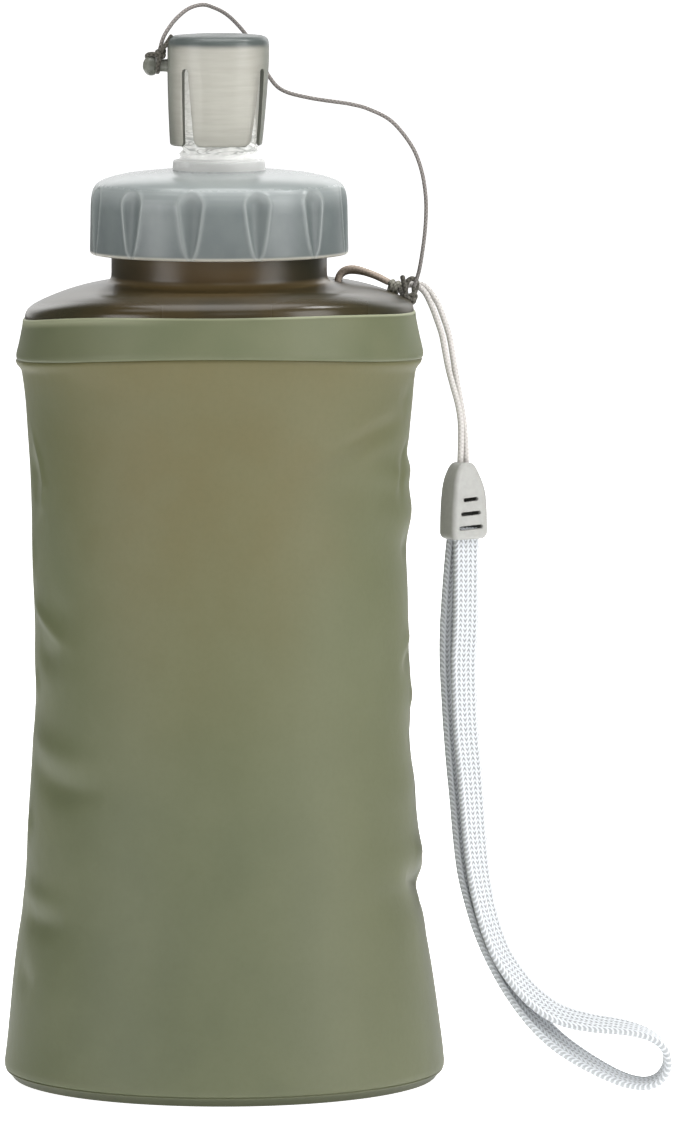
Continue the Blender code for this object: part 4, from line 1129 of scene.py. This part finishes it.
def slot_outline(left, right):
    """A slot between two tongues: narrow, round at the top, and opening out between the tongues' corners.

    Each side gives its angle from the front in degrees at the top and at the bottom, and the radius of its corner.
    """
    place = lambda degrees: math.radians(degrees) * 8.7
    top = 182.85 + DUST_UP
    centre = (place(left[0]) + place(right[0])) / 2
    round_top = min(0.7, (place(right[0]) - place(left[0])) / 2)
    sides = []
    for (start, end, corner), sign in ((right, 1), (left, -1)):
        at_top, at_low, low = place(start), place(end), 170.25 + corner + 0.35
        half = at_top - centre
        run = [(centre + half * 0.71, top + round_top * 0.71), (at_top, top)]
        run += [(at_top + (at_low - at_top) * t, top + (low - top) * t) for t in (0.25, 0.5, 0.75, 1.0)]
        run += [(at_low + sign * corner * (1 - math.cos(t)), low - (corner + 0.3) * math.sin(t)) for t in np.linspace(0.25, 1.45, 7)]
        run += [(at_low + sign * (corner + 0.5), 167.5)]
        sides.append(run)
    return [(centre, top + round_top)] + sides[0] + sides[1][::-1]


slot_cutters = [
    radial_prism(slot_outline(left, right), math.radians(-90.0))
    for left, right in (
        ((-44.7, -44.3, 0.5), (-35.3, -28.3, 1.1)),
        ((56.8, 49.6, 1.1), (65.9, 68.7, 0.5)),
        ((133.0, 131.0, 0.8), (143.0, 145.5, 0.8)),
        ((223.0, 220.5, 0.8), (233.0, 235.5, 0.8)),
    )
]
cut(dust_cap, slot_cutters)
# the peg that holds the tether: a stalk with a ball
peg_line = smooth_line([(-8.35, 1.6), (-8.7, 1.4), (-9.3, 1.18), (-10.2, 1.12), (-10.85, 1.15), (-11.1, 1.35), (-11.35, 1.66), (-11.85, 1.84),
                        (-12.55, 1.78), (-13.1, 1.38), (-13.5, 0.75), (-13.62, 0.12)], 3)
peg_angle = np.linspace(0, 2 * np.pi, 28, endpoint=False)
peg_rings = np.array([
    np.stack([x + 0 * peg_angle, r * 0.9 * np.cos(peg_angle), 183.88 + DUST_UP + r * np.sin(peg_angle)], axis=1) for x, r in peg_line
])
cut(dust_cap, [ring_mesh("peg", peg_rings)], "UNION")
# it sits a hair askew: its open end stands a little to the left
for vertex in dust_cap.data.vertices:
    vertex.co.x -= (0.12 + 0.42 * min(max((186.0 - vertex.co.z / MM) / 16.0, 0.0), 1.0)) * MM
dust_cap.data.shade_smooth()
dust_cap.data.set_sharp_from_angle(angle=math.radians(42))
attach(dust_cap, "dust_cap")
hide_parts("dust_cap")

# ================================================================ tether
TETHER_R = 0.375
TETHER_UPPER = [
    (-10.6, 0.3, 187.7), (-10.1, 0.5, 189.4), (-9.2, 1.0, 191.0), (-7.7, 2.2, 192.9), (-5.5, 4.0, 194.6),
    (-3.0, 6.0, 195.2), (-0.8, 8.0, 194.5), (1.4, 9.8, 193.2), (3.5, 11.3, 191.1), (5.3, 12.0, 188.8), (7.0, 11.6, 186.0),
]
TETHER_LOWER = [
    (7.2, 11.5, 185.7), (9.0, 10.2, 182.0), (11.5, 9.4, 179.5), (16.6, 9.0, 178.1), (23.9, 9.0, 177.0), (27.6, 9.0, 175.9),
    (31.4, 8.8, 173.8), (34.9, 8.4, 169.5), (36.7, 8.0, 165.1), (37.5, 7.5, 160.2), (37.5, 6.8, 156.0),
    (37.1, 6.2, 151.8), (36.3, 5.3, 147.0), (35.3, 4.4, 143.9),
]
upper_path = even([(-11.15, -0.55, 184.9), (-10.95, -0.2, 186.2)] + TETHER_UPPER + [(7.12, 11.54, 185.83)], 160)
lower_path = even([(7.12, 11.54, 185.83)] + TETHER_LOWER[1:], 300)
tether_upper = piece("tether_upper_braid", tube("tether_upper_braid", upper_path, TETHER_R, 14), ELASTIC, 60)
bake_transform(tether_upper)
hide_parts("tether_cord_upper")
tether_lower = piece("tether_lower_braid", tube("tether_lower_braid", lower_path, TETHER_R, 14), ELASTIC, 60)
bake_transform(tether_lower)
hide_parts("tether_cord_lower")


def knot_loop(centre, size, turn, count=90):
    """An overhand knot drawn tight, as one closed run of cord."""
    t = np.linspace(0, 2 * np.pi, count, endpoint=False)
    line = np.stack([np.sin(t) + 2 * np.sin(2 * t), np.cos(t) - 2 * np.cos(2 * t), -1.25 * np.sin(3 * t)], axis=1) * size
    spin = np.array(Matrix.Rotation(math.radians(turn[0]), 3, "X") @ Matrix.Rotation(math.radians(turn[1]), 3, "Y") @ Matrix.Rotation(math.radians(turn[2]), 3, "Z"))
    return line @ spin.T + np.array(centre)


def hoop(centre, radius, normal, squeeze=1.0, count=44, start=0.0):
    """A loop of cord round something."""
    n = Vector(normal).normalized()
    one = n.orthogonal().normalized()
    two = n.cross(one)
    out = []
    for k in range(count):
        a = 2 * math.pi * k / count + start
        out.append(Vector(centre) + one * (radius * math.cos(a)) + two * (radius * squeeze * math.sin(a)))
    return np.array(out)


def ring_through(points, count=70):
    """A smooth closed curve through the points."""
    given = [tuple(p) for p in points]
    line = np.array(smooth_line(given[-2:] + given + given[:2], 16))
    line = line[2 * 16 : (2 + len(given)) * 16]
    along = np.concatenate([[0], np.cumsum(np.linalg.norm(np.diff(np.vstack([line, line[:1]]), axis=0), axis=1))])
    at = np.linspace(0, along[-1], count, endpoint=False)
    full = np.vstack([line, line[:1]])
    return np.stack([np.interp(at, along, full[:, k]) for k in range(3)], axis=1)


peg_loop = ring_through([
    (-10.75, -0.75, 186.25), (-11.7, -0.95, 186.55), (-12.7, -0.35, 186.45), (-13.0, 0.75, 186.0), (-12.3, 1.45, 185.2),
    (-11.4, 1.35, 184.2), (-11.15, 0.4, 183.35), (-11.1, -0.9, 183.65), (-11.0, -1.3, 184.7), (-10.75, -1.15, 185.6),
])
peg_wraps = [
    tube("wrap", peg_loop, 0.45, 12, closed=True),
    tube("knot", knot_loop((-10.45, -0.6, 186.75), 0.27, (80, 10, 20)), TETHER_R * 0.95, 12, closed=True),
    tube("tie", even([(-10.9, -1.0, 185.6), (-10.6, -1.15, 186.4), (-10.2, -0.5, 187.1), (-10.5, 0.1, 187.9)], 24), TETHER_R * 0.95, 12),
    tube("tail", even([(-10.4, -0.9, 187.0), (-9.95, -1.1, 187.9), (-9.3, -1.3, 188.8), (-8.6, -1.4, 189.9)], 30), TETHER_R * 1.0, 12),
    tube("tail", even([(-10.2, -1.2, 187.3), (-9.6, -1.5, 188.0), (-8.9, -1.7, 188.7)], 20), TETHER_R * 0.8, 12),
]
knot_upper = piece("tether_peg_knot", joined("tether_peg_knot", peg_wraps), KNOT_SHADED_MAT, 60)
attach(knot_upper, "dust_cap")
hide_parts("tether_knot_upper")

def flattened(line, centre, scale):
    return (line - np.array(centre)) * np.array(scale) + np.array(centre)


lower_knot = [
    tube("knot", flattened(knot_loop((34.6, 3.7, 142.0), 0.30, (70, 25, 0)), (34.6, 3.7, 142.0), (1.35, 1.0, 0.95)), 0.52, 12, closed=True),
    tube("tie", even([(35.3, 4.4, 143.9), (35.3, 4.1, 142.8), (35.0, 3.5, 141.9), (34.1, 3.2, 141.3), (33.3, 3.7, 141.6), (33.2, 4.6, 142.4)], 36), 0.42, 12),
    tube("tuck", even([(32.9, 6.5, 143.5), (33.15, 5.6, 142.9), (33.5, 4.7, 142.4), (34.1, 3.9, 142.1)], 24), 0.50, 12),
    tube("arch", even([(33.9, 4.3, 142.6), (33.85, 4.4, 143.7), (34.1, 4.5, 144.9), (34.8, 4.7, 145.5), (35.5, 5.1, 145.3), (35.9, 5.6, 144.4), (35.5, 5.6, 142.9)], 40), 0.46, 12),
    tube("stub", even([(33.9, 3.5, 142.2), (33.8, 3.5, 143.2), (33.55, 3.7, 144.5), (33.25, 3.9, 145.9)], 24), 0.46, 12),
]
knot_lower = piece("tether_strap_knot", joined("tether_strap_knot", lower_knot), KNOT_SHADED_MAT, 60)
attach(knot_lower, "bottle")
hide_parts("tether_knot_lower")

# ================================================================ wrist strap cords
CORD_R = 0.58
CORD_EYE = [
    (30.6, 6.6, 144.8), (28.9, 7.6, 145.65), (26.6, 8.7, 146.5), (24.6, 9.5, 147.0), (22.9, 10.0, 146.8),
    (21.8, 10.3, 145.8), (21.5, 10.3, 144.4), (21.5, 11.0, 142.6), (21.5, 12.9, 141.8),
    (21.5, 14.8, 142.6), (21.5, 15.4, 144.0), (21.9, 15.1, 145.3), (23.2, 14.3, 146.2), (25.4, 12.6, 146.3),
    (28.0, 10.3, 145.75), (30.6, 8.3, 144.7),
]
CORD_INNER = [
    (35.6, 6.3, 144.2), (37.2, 5.6, 143.1), (38.4, 5.0, 140.9), (39.5, 4.3, 138.1), (40.45, 3.4, 135.2),
    (41.0, 2.6, 132.3), (41.6, 1.8, 129.3), (42.4, 1.0, 126.2), (43.25, 0.2, 123.2), (43.75, -0.35, 120.2),
    (43.85, -0.65, 117.0), (43.75, -0.75, 112.9),
]
CORD_OUTER = [
    (35.6, 8.0, 144.5), (37.6, 7.6, 143.7), (39.5, 6.8, 141.2), (40.8, 6.0, 138.1), (41.8, 5.1, 134.9),
    (42.35, 4.2, 131.8), (42.8, 3.4, 129.0), (43.3, 2.6, 126.1), (43.85, 1.9, 123.0), (44.35, 1.2, 119.9),
    (44.65, 0.7, 116.8), (44.8, 0.35, 112.9),
]
eye_path = even(CORD_EYE, 200)
inner_path = even([(34.2, 6.7, 144.2)] + CORD_INNER + [(43.75, -0.7, 110.5)], 180)
outer_path = even([(34.4, 8.2, 144.3)] + CORD_OUTER + [(44.7, 0.2, 110.5)], 180)
cord_eye = piece("strap_cord_eye", tube("strap_cord_eye", eye_path, CORD_R * 1.06, 16), CORD_BEIGE, 60)
cord_inner = piece("strap_cord_inner_run", tube("strap_cord_inner_run", inner_path, CORD_R * 0.96, 16), CORD_PALE, 60)
cord_outer = piece("strap_cord_outer_run", tube("strap_cord_outer_run", outer_path, CORD_R * 0.96, 16), CORD_PALE, 60)
for obj, node in ((cord_eye, "strap_cord_loop"), (cord_inner, "strap_cord_inner"), (cord_outer, "strap_cord_outer")):
    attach(obj, "bottle")
    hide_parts(node)

hitch_parts = [
    tube("wrap", hoop((31.25, 7.4, 143.85), 1.0, (1.0, 0.1, -0.35), 0.85), 0.52, 12, closed=True),
    tube("wrap", hoop((32.2, 7.3, 143.5), 1.1, (1.0, -0.15, -0.30), 0.85), 0.52, 12, closed=True),
    tube("core", even([(30.6, 6.6, 144.8), (31.8, 6.9, 144.2), (33.2, 6.8, 144.0), (34.2, 6.7, 144.2)], 24), CORD_R * 0.9, 12),
    tube("core", even([(30.6, 8.3, 144.7), (31.8, 8.2, 144.3), (33.2, 8.1, 144.2), (34.4, 8.2, 144.3)], 24), CORD_R * 0.9, 12),
]
hitch = piece("strap_hitch_wraps", joined("strap_hitch_wraps", hitch_parts), HITCH_MAT, 60)
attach(hitch, "bottle")
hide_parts("strap_hitch")

# ================================================================ bead
BEAD_AT, BEAD_TURN = Vector((44.35, -0.5, 98.5)), 35.0
BEAD_W, BEAD_DEPTH = 7.9, 4.85
bead_frame = Matrix.Translation(BEAD_AT * MM) @ Matrix.Rotation(math.radians(BEAD_TURN), 4, "Z")


def bead_outline(inset):
    """Half widths going up: a rounded foot, sides that lean in more and more, and a blunt tip, drawn in by inset."""
    half = BEAD_W / 2
    points = [(0.0, 0.0), (half - 1.3, 0.0)]
    points += [(half - 1.3 + 1.3 * math.sin(a), 1.3 - 1.3 * math.cos(a)) for a in np.linspace(0.25, math.pi / 2, 7)]
    side = smooth_line([
        (0.998, 2.6), (0.988, 4.2), (0.967, 6.0), (0.937, 7.4), (0.89, 8.7), (0.835, 9.8), (0.75, 11.0), (0.635, 12.1),
        (0.53, 12.9), (0.42, 13.5), (0.29, 13.88), (0.13, 14.02),
    ], 3)
    points += [(half * share, z) for share, z in side]
    points = np.array(points)
    full = np.vstack([points, (points * (-1, 1))[:0:-1]])
    run = np.roll(full, -1, 0) - np.roll(full, 1, 0)
    normal = np.stack([run[:, 1], -run[:, 0]], axis=1)
    normal /= np.linalg.norm(normal, axis=1)[:, None]
    return full - normal * inset


def bead_half(name, side, node):
    depth = BEAD_DEPTH / 2
    edge = 0.85
    thinner = 0.25 if side < 0 else 0.22
    rows = [(0.008, 0.0), (0.5, 0.0), (1.2, 0.0)]
    rows += [(depth - edge + edge * math.sin(a), edge * (1 - math.cos(a))) for a in np.linspace(0.0, math.pi / 2, 7)]
    rings = []
    for out, inset in rows:
        ring = bead_outline(inset)
        rings.append([
            tuple(bead_frame @ Vector(((x - 0.28 * float(eased(z, 7.5, 12.5))) * MM, side * out * (1 - thinner * float(eased(z, 8.0, 14.6))) * MM, z * MM)) / MM)
            for x, z in ring
        ])
    obj = piece(name, ring_mesh(name, np.array(rings)), BEAD, 40)
    cavity = box_mesh((5.9, 3.2, 9.6), bead_frame @ Matrix.Translation((0.0, 0.0, 4.3 * MM)))
    lean = math.radians(2.4) * -side
    slots = []
    for width, height in ((3.25, 7.33), (4.35, 4.78), (5.2, 2.23)) if side < 0 else ():
        place = bead_frame @ Matrix.Translation((0.0, 0.0, height * MM)) @ Matrix.Rotation(lean * -1.0, 4, "Y")
        rings = []
        for out, grow in ((1.2, 0.0), (2.26, 0.0), (2.37, 0.07), (2.47, 0.2), (2.7, 0.45)):
            half, tall = width / 2 - 0.36, 0.36 + grow
            ends = [(half + tall * math.cos(a), tall * math.sin(a)) for a in np.linspace(-math.pi / 2, math.pi / 2, 7)]
            outline = ends + [(-u, -v) for u, v in ends]
            rings.append([tuple(place @ Vector((u * MM, side * out * MM, v * MM)) / MM) for u, v in outline])
        slots.append(ring_mesh("slot", np.array(rings)))
    hole = tube("hole", np.array([tuple(bead_frame @ Vector((0, 0, z * MM)) / MM) for z in (8.0, 11.0, 16.0)]), 0.90, 18)
    cut(obj, [cavity] + slots + [hole])
    obj.data.shade_smooth()
    obj.data.set_sharp_from_angle(angle=math.radians(35))
    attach(obj, "bottle")
    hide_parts(node)
    return obj


bead_front = bead_half("bead_front_shell", -1, "strap_bead_front")
bead_back = bead_half("bead_back_shell", 1, "strap_bead_back")

# ================================================================ webbing
# x, y, z and the angle between the band's width and the picture plane
WEBBING = [
    (44.8, -1.3, 97.8, 35), (44.8, -1.7, 92.4, 35), (44.7, -2.5, 83.5, 35), (44.4, -3.2, 76.6, 35),
    (44.5, -4.0, 70.2, 35), (44.8, -4.8, 63.7, 35), (45.4, -5.8, 57.3, 36), (45.9, -6.8, 50.9, 38),
    (46.4, -7.9, 44.5, 41), (47.1, -9.1, 38.1, 45), (48.1, -10.2, 32.7, 50), (49.3, -11.1, 28.5, 53),
    (51.2, -12.1, 23.9, 55), (53.9, -13.0, 19.8, 56), (56.8, -13.8, 16.6, 57), (60.0, -14.6, 14.2, 58),
    (63.2, -15.2, 12.8, 61), (67.6, -16.0, 11.9, 66), (72.8, -16.6, 11.3, 74), (76.6, -16.9, 10.4, 82),
    (79.4, -17.0, 8.9, 88), (80.9, -17.0, 6.8, 91), (81.1, -17.0, 4.4, 94), (80.0, -17.0, 2.3, 96),
    (78.1, -17.0, 1.2, 98), (75.8, -16.9, 1.1, 100), (72.7, -16.8, 1.9, 104), (69.0, -16.4, 3.6, 109),
    (64.9, -15.6, 5.9, 115), (60.9, -14.5, 8.7, 120), (57.0, -13.1, 12.5, 123), (53.3, -11.5, 17.5, 125),
    (50.3, -10.1, 22.8, 127), (48.0, -8.8, 28.2, 130), (46.4, -7.5, 33.6, 134), (45.3, -6.4, 38.6, 138),
    (44.6, -5.1, 44.7, 141), (44.1, -3.9, 51.0, 143), (43.5, -2.8, 57.4, 144), (43.0, -1.7, 63.8, 145),
    (42.6, -0.9, 70.2, 145), (42.3, -0.4, 76.6, 145), (42.4, 0.1, 83.4, 145), (43.0, 0.4, 92.2, 145),
    (43.5, 0.5, 97.8, 145),
]
WEB_W, WEB_T = 5.4, 1.3


def web_sections(count):
    rows = np.array(WEBBING, float)
    # both ends run on up into the bead
    rows = np.vstack([[(44.7, -0.9, 100.55, 35)], rows, [(43.8, 0.4, 100.55, 145)]])
    centres = even([tuple(r[:3]) for r in rows], count)
    given = np.concatenate([[0], np.cumsum(np.linalg.norm(np.diff(rows[:, :3], axis=0), axis=1))])
    angle = np.radians(np.interp(np.linspace(0, given[-1], count), given, rows[:, 3]))
    kernel = np.hanning(25)
    angle = np.convolve(np.pad(angle, 12, mode="edge"), kernel / kernel.sum(), mode="valid")
    run = np.gradient(centres, axis=0)
    run /= np.linalg.norm(run, axis=1)[:, None]
    side = np.stack([-run[:, 2], 0 * run[:, 0], run[:, 0]], axis=1)
    side /= np.linalg.norm(side, axis=1)[:, None]
    wide = np.cos(angle)[:, None] * side + np.sin(angle)[:, None] * np.array([0, 1.0, 0])
    wide -= run * (wide * run).sum(1)[:, None]
    wide /= np.linalg.norm(wide, axis=1)[:, None]
    return centres, wide, np.cross(run, wide)


def web_relief(across, along):
    """Height of the herringbone at across from 0 to 1 and along in millimetres."""
    column = across * WEB_COLUMNS
    zigzag = 1 - np.abs((column % 2) - 1)
    phase = along / WEB_PITCH + zigzag * WEB_LEAN
    strand = np.abs(np.sin(np.pi * phase)) ** 1.7
    border = np.abs((column % 1) * 2 - 1)
    gap = (1 - strand) * (0.22 + 0.73 * eased(border, 0.05, 0.62))
    at_edge = np.minimum(across, 1 - across)
    height = 1 - gap - 0.12 * eased(border, 0.7, 1.0)
    return 0.75 + (height - 0.75) * eased(at_edge, -0.02, 0.12)


def webbing_mesh():
    count, flat = 1050, 30
    centres, wide, out = web_sections(count)
    along = np.concatenate([[0], np.cumsum(np.linalg.norm(np.diff(centres, axis=0), axis=1))])
    u = np.linspace(0, 1, flat)
    # one face, then the edge, then the other face
    ring_u = np.concatenate([u, [1.0, 1.0], u[::-1], [0.0, 0.0]])
    side = np.concatenate([np.ones(flat), [0.45, -0.45], -np.ones(flat), [-0.45, 0.45]])
    half_w, half_t = WEB_W / 2, WEB_T / 2
    from_edge = np.minimum(ring_u, 1 - ring_u) * WEB_W
    plump = np.sqrt(np.clip(1 - (1 - np.clip(from_edge / 0.75, 0, 1)) ** 2, 0, 1)) * 0.5 + 0.5
    rings = np.zeros((count, len(ring_u), 3))
    for k in range(count):
        relief = web_relief(ring_u, along[k] + np.where(side < 0, 0.37, 0.0))
        thick = half_t * plump * side
        on_face = np.abs(side) == 1
        thick = np.where(on_face, thick + np.sign(side) * (relief - 0.75) * 0.18 * plump, thick * 0.9)
        edge = np.where(on_face, 0.0, 0.10 + 0.035 * np.sin(along[k] / WEB_PITCH * 2 * np.pi))
        x = (ring_u - 0.5) * 2 * (half_w - 0.1) + np.sign(ring_u - 0.5) * edge
        rings[k] = centres[k] + wide[k] * x[:, None] + out[k] * thick[:, None]
    across = np.append(ring_u, ring_u[0])
    return ring_mesh("strap_webbing_braid", rings, across=across, along=along), centres


web_mesh, web_path = webbing_mesh()
webbing = piece("strap_webbing_braid", web_mesh, WEBBING_MAT, 70)
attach(webbing, "bottle")
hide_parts("strap_webbing")

# ================================================================ lengths of the cord and webbing paths, worked out and left unused
length_of(upper_path) * MM
length_of(lower_path) * MM
length_of(eye_path) * MM
length_of(inner_path) * MM
length_of(outer_path) * MM
length_of(web_path) * MM
[tuple(p * MM) for p in web_path]

# ================================================================ floor and light


def stage_floor():
    """One pale sheet, lit a little from below as a light table is, so that it runs on without a visible end."""
    work = bmesh.new()
    bmesh.ops.create_grid(work, x_segments=8, y_segments=8, size=9.0)
    mesh = bpy.data.meshes.new("floor")
    work.to_mesh(mesh)
    work.free()
    m = Nodes("floor_paper")
    grain = m.noise(0.02, 3.0)
    x, y, z = m.axes()
    aside = m.math("ABSOLUTE", x)
    white = m.mix(m.span(grain, 0.3, 0.7), (0.78, 0.78, 0.78), (0.81, 0.81, 0.81))
    m.set(Base_Color=m.mix(m.span(aside, 300.0, 520.0), white, (0.16, 0.16, 0.16)), Roughness=0.9)
    m.shader.inputs["Specular IOR Level"].default_value = 0.1
    strip = m.span(aside, 300.0, 520.0, FLOOR_GLOW, FLOOR_SIDE_GLOW)
    m.shader.inputs["Emission Color"].default_value = (1.0, 1.0, 1.0, 1.0)
    m.put(m.shader.inputs["Emission Strength"], strip)
    mesh.materials.append(m.mat)
    obj = link(bpy.data.objects.new("floor", mesh))
    return obj


def area_light(name, azimuth, height, distance, size, power, target=(0.0, 0.0, 0.10), colour=(1, 1, 1)):
    """A soft box.  Azimuth 0 is the camera's side, and 90 is the right."""
    a = math.radians(azimuth)
    at = Vector((math.sin(a) * distance, -math.cos(a) * distance, height))
    data = bpy.data.lights.new(name, "AREA")
    data.shape = "RECTANGLE"
    data.size, data.size_y = size
    data.energy = power
    data.color = colour
    obj = link(bpy.data.objects.new(name, data))
    obj.location = at
    obj.rotation_euler = (Vector(target) - at).to_track_quat("-Z", "Y").to_euler()
    return obj


FLOOR_GLOW, FLOOR_SIDE_GLOW = 0.95, 0.03
stage_floor()
area_light("light_top", 180, 1.4, -0.12, (1.2, 1.3), 20.0)
area_light("light_left", -57, 0.20, 1.3, (0.60, 0.46), 4.9, target=(0.0, 0.0, 0.15))
area_light("light_left_high", -60, 1.10, 0.95, (0.45, 0.45), 1.7)
area_light("light_right", 58, 0.40, 1.3, (0.62, 0.86), 9.4, target=(0.0, 0.0, 0.15))
area_light("light_right_high", 88, 1.25, 0.90, (0.30, 0.30), 6.5)
area_light("light_rim", 150, 0.35, 1.4, (0.45, 0.9), 1.3)
area_light("light_camera", 10, 1.0, 1.7, (0.8, 0.5), 2.5)


def white_wall():
    """The room: dark, with a white wall behind that is brightest a little above the floor."""
    world = bpy.data.worlds.new("studio")
    world.use_nodes = True
    tree = world.node_tree

    def node(kind, **values):
        made = tree.nodes.new(kind)
        for key, value in values.items():
            setattr(made, key, value)
        return made

    def ramp(value, low, high, to_low=0.0, to_high=1.0):
        made = node("ShaderNodeMapRange", interpolation_type="SMOOTHSTEP")
        tree.links.new(value, made.inputs["Value"])
        for key, x in (("From Min", low), ("From Max", high), ("To Min", to_low), ("To Max", to_high)):
            made.inputs[key].default_value = x
        return made.outputs["Result"]

    def both(operation, a, b):
        made = node("ShaderNodeMath", operation=operation)
        for socket, value in zip(made.inputs, (a, b)):
            if isinstance(value, bpy.types.NodeSocket):
                tree.links.new(value, socket)
            else:
                socket.default_value = value
        return made.outputs[0]

    place = node("ShaderNodeTexCoord").outputs["Generated"]
    towards = node("ShaderNodeVectorMath", operation="DOT_PRODUCT")
    towards.inputs[1].default_value = (math.sin(math.radians(3)), math.cos(math.radians(3)), 0.0)
    tree.links.new(place, towards.inputs[0])
    split = node("ShaderNodeSeparateXYZ")
    tree.links.new(place, split.inputs[0])
    height = split.outputs["Z"]
    level = both("SQRT", both("MAXIMUM", both("SUBTRACT", 1.0, both("MULTIPLY", height, height)), 0.01), 0.0)
    behind = ramp(both("DIVIDE", towards.outputs["Value"], level), 0.72, 0.94)
    upper = both("MULTIPLY", ramp(height, 0.10, 0.30, WALL_LOW, WALL_HIGH), ramp(height, 0.38, 0.64, 1.0, 0.12))
    strength = both("ADD", ROOM_GLOW, both("MULTIPLY", behind, upper))
    background = tree.nodes["Background"]
    tree.links.new(strength, background.inputs["Strength"])
    background.inputs["Color"].default_value = (1.0, 1.0, 1.0, 1.0)
    return world


ROOM_GLOW, WALL_LOW, WALL_HIGH = 0.12, 1.0, 1.6
scene.world = white_wall()
scene.view_settings.view_transform = "Standard"
scene.view_settings.look = "None"
scene.view_settings.exposure = 0.0
scene.view_settings.gamma = 1.0
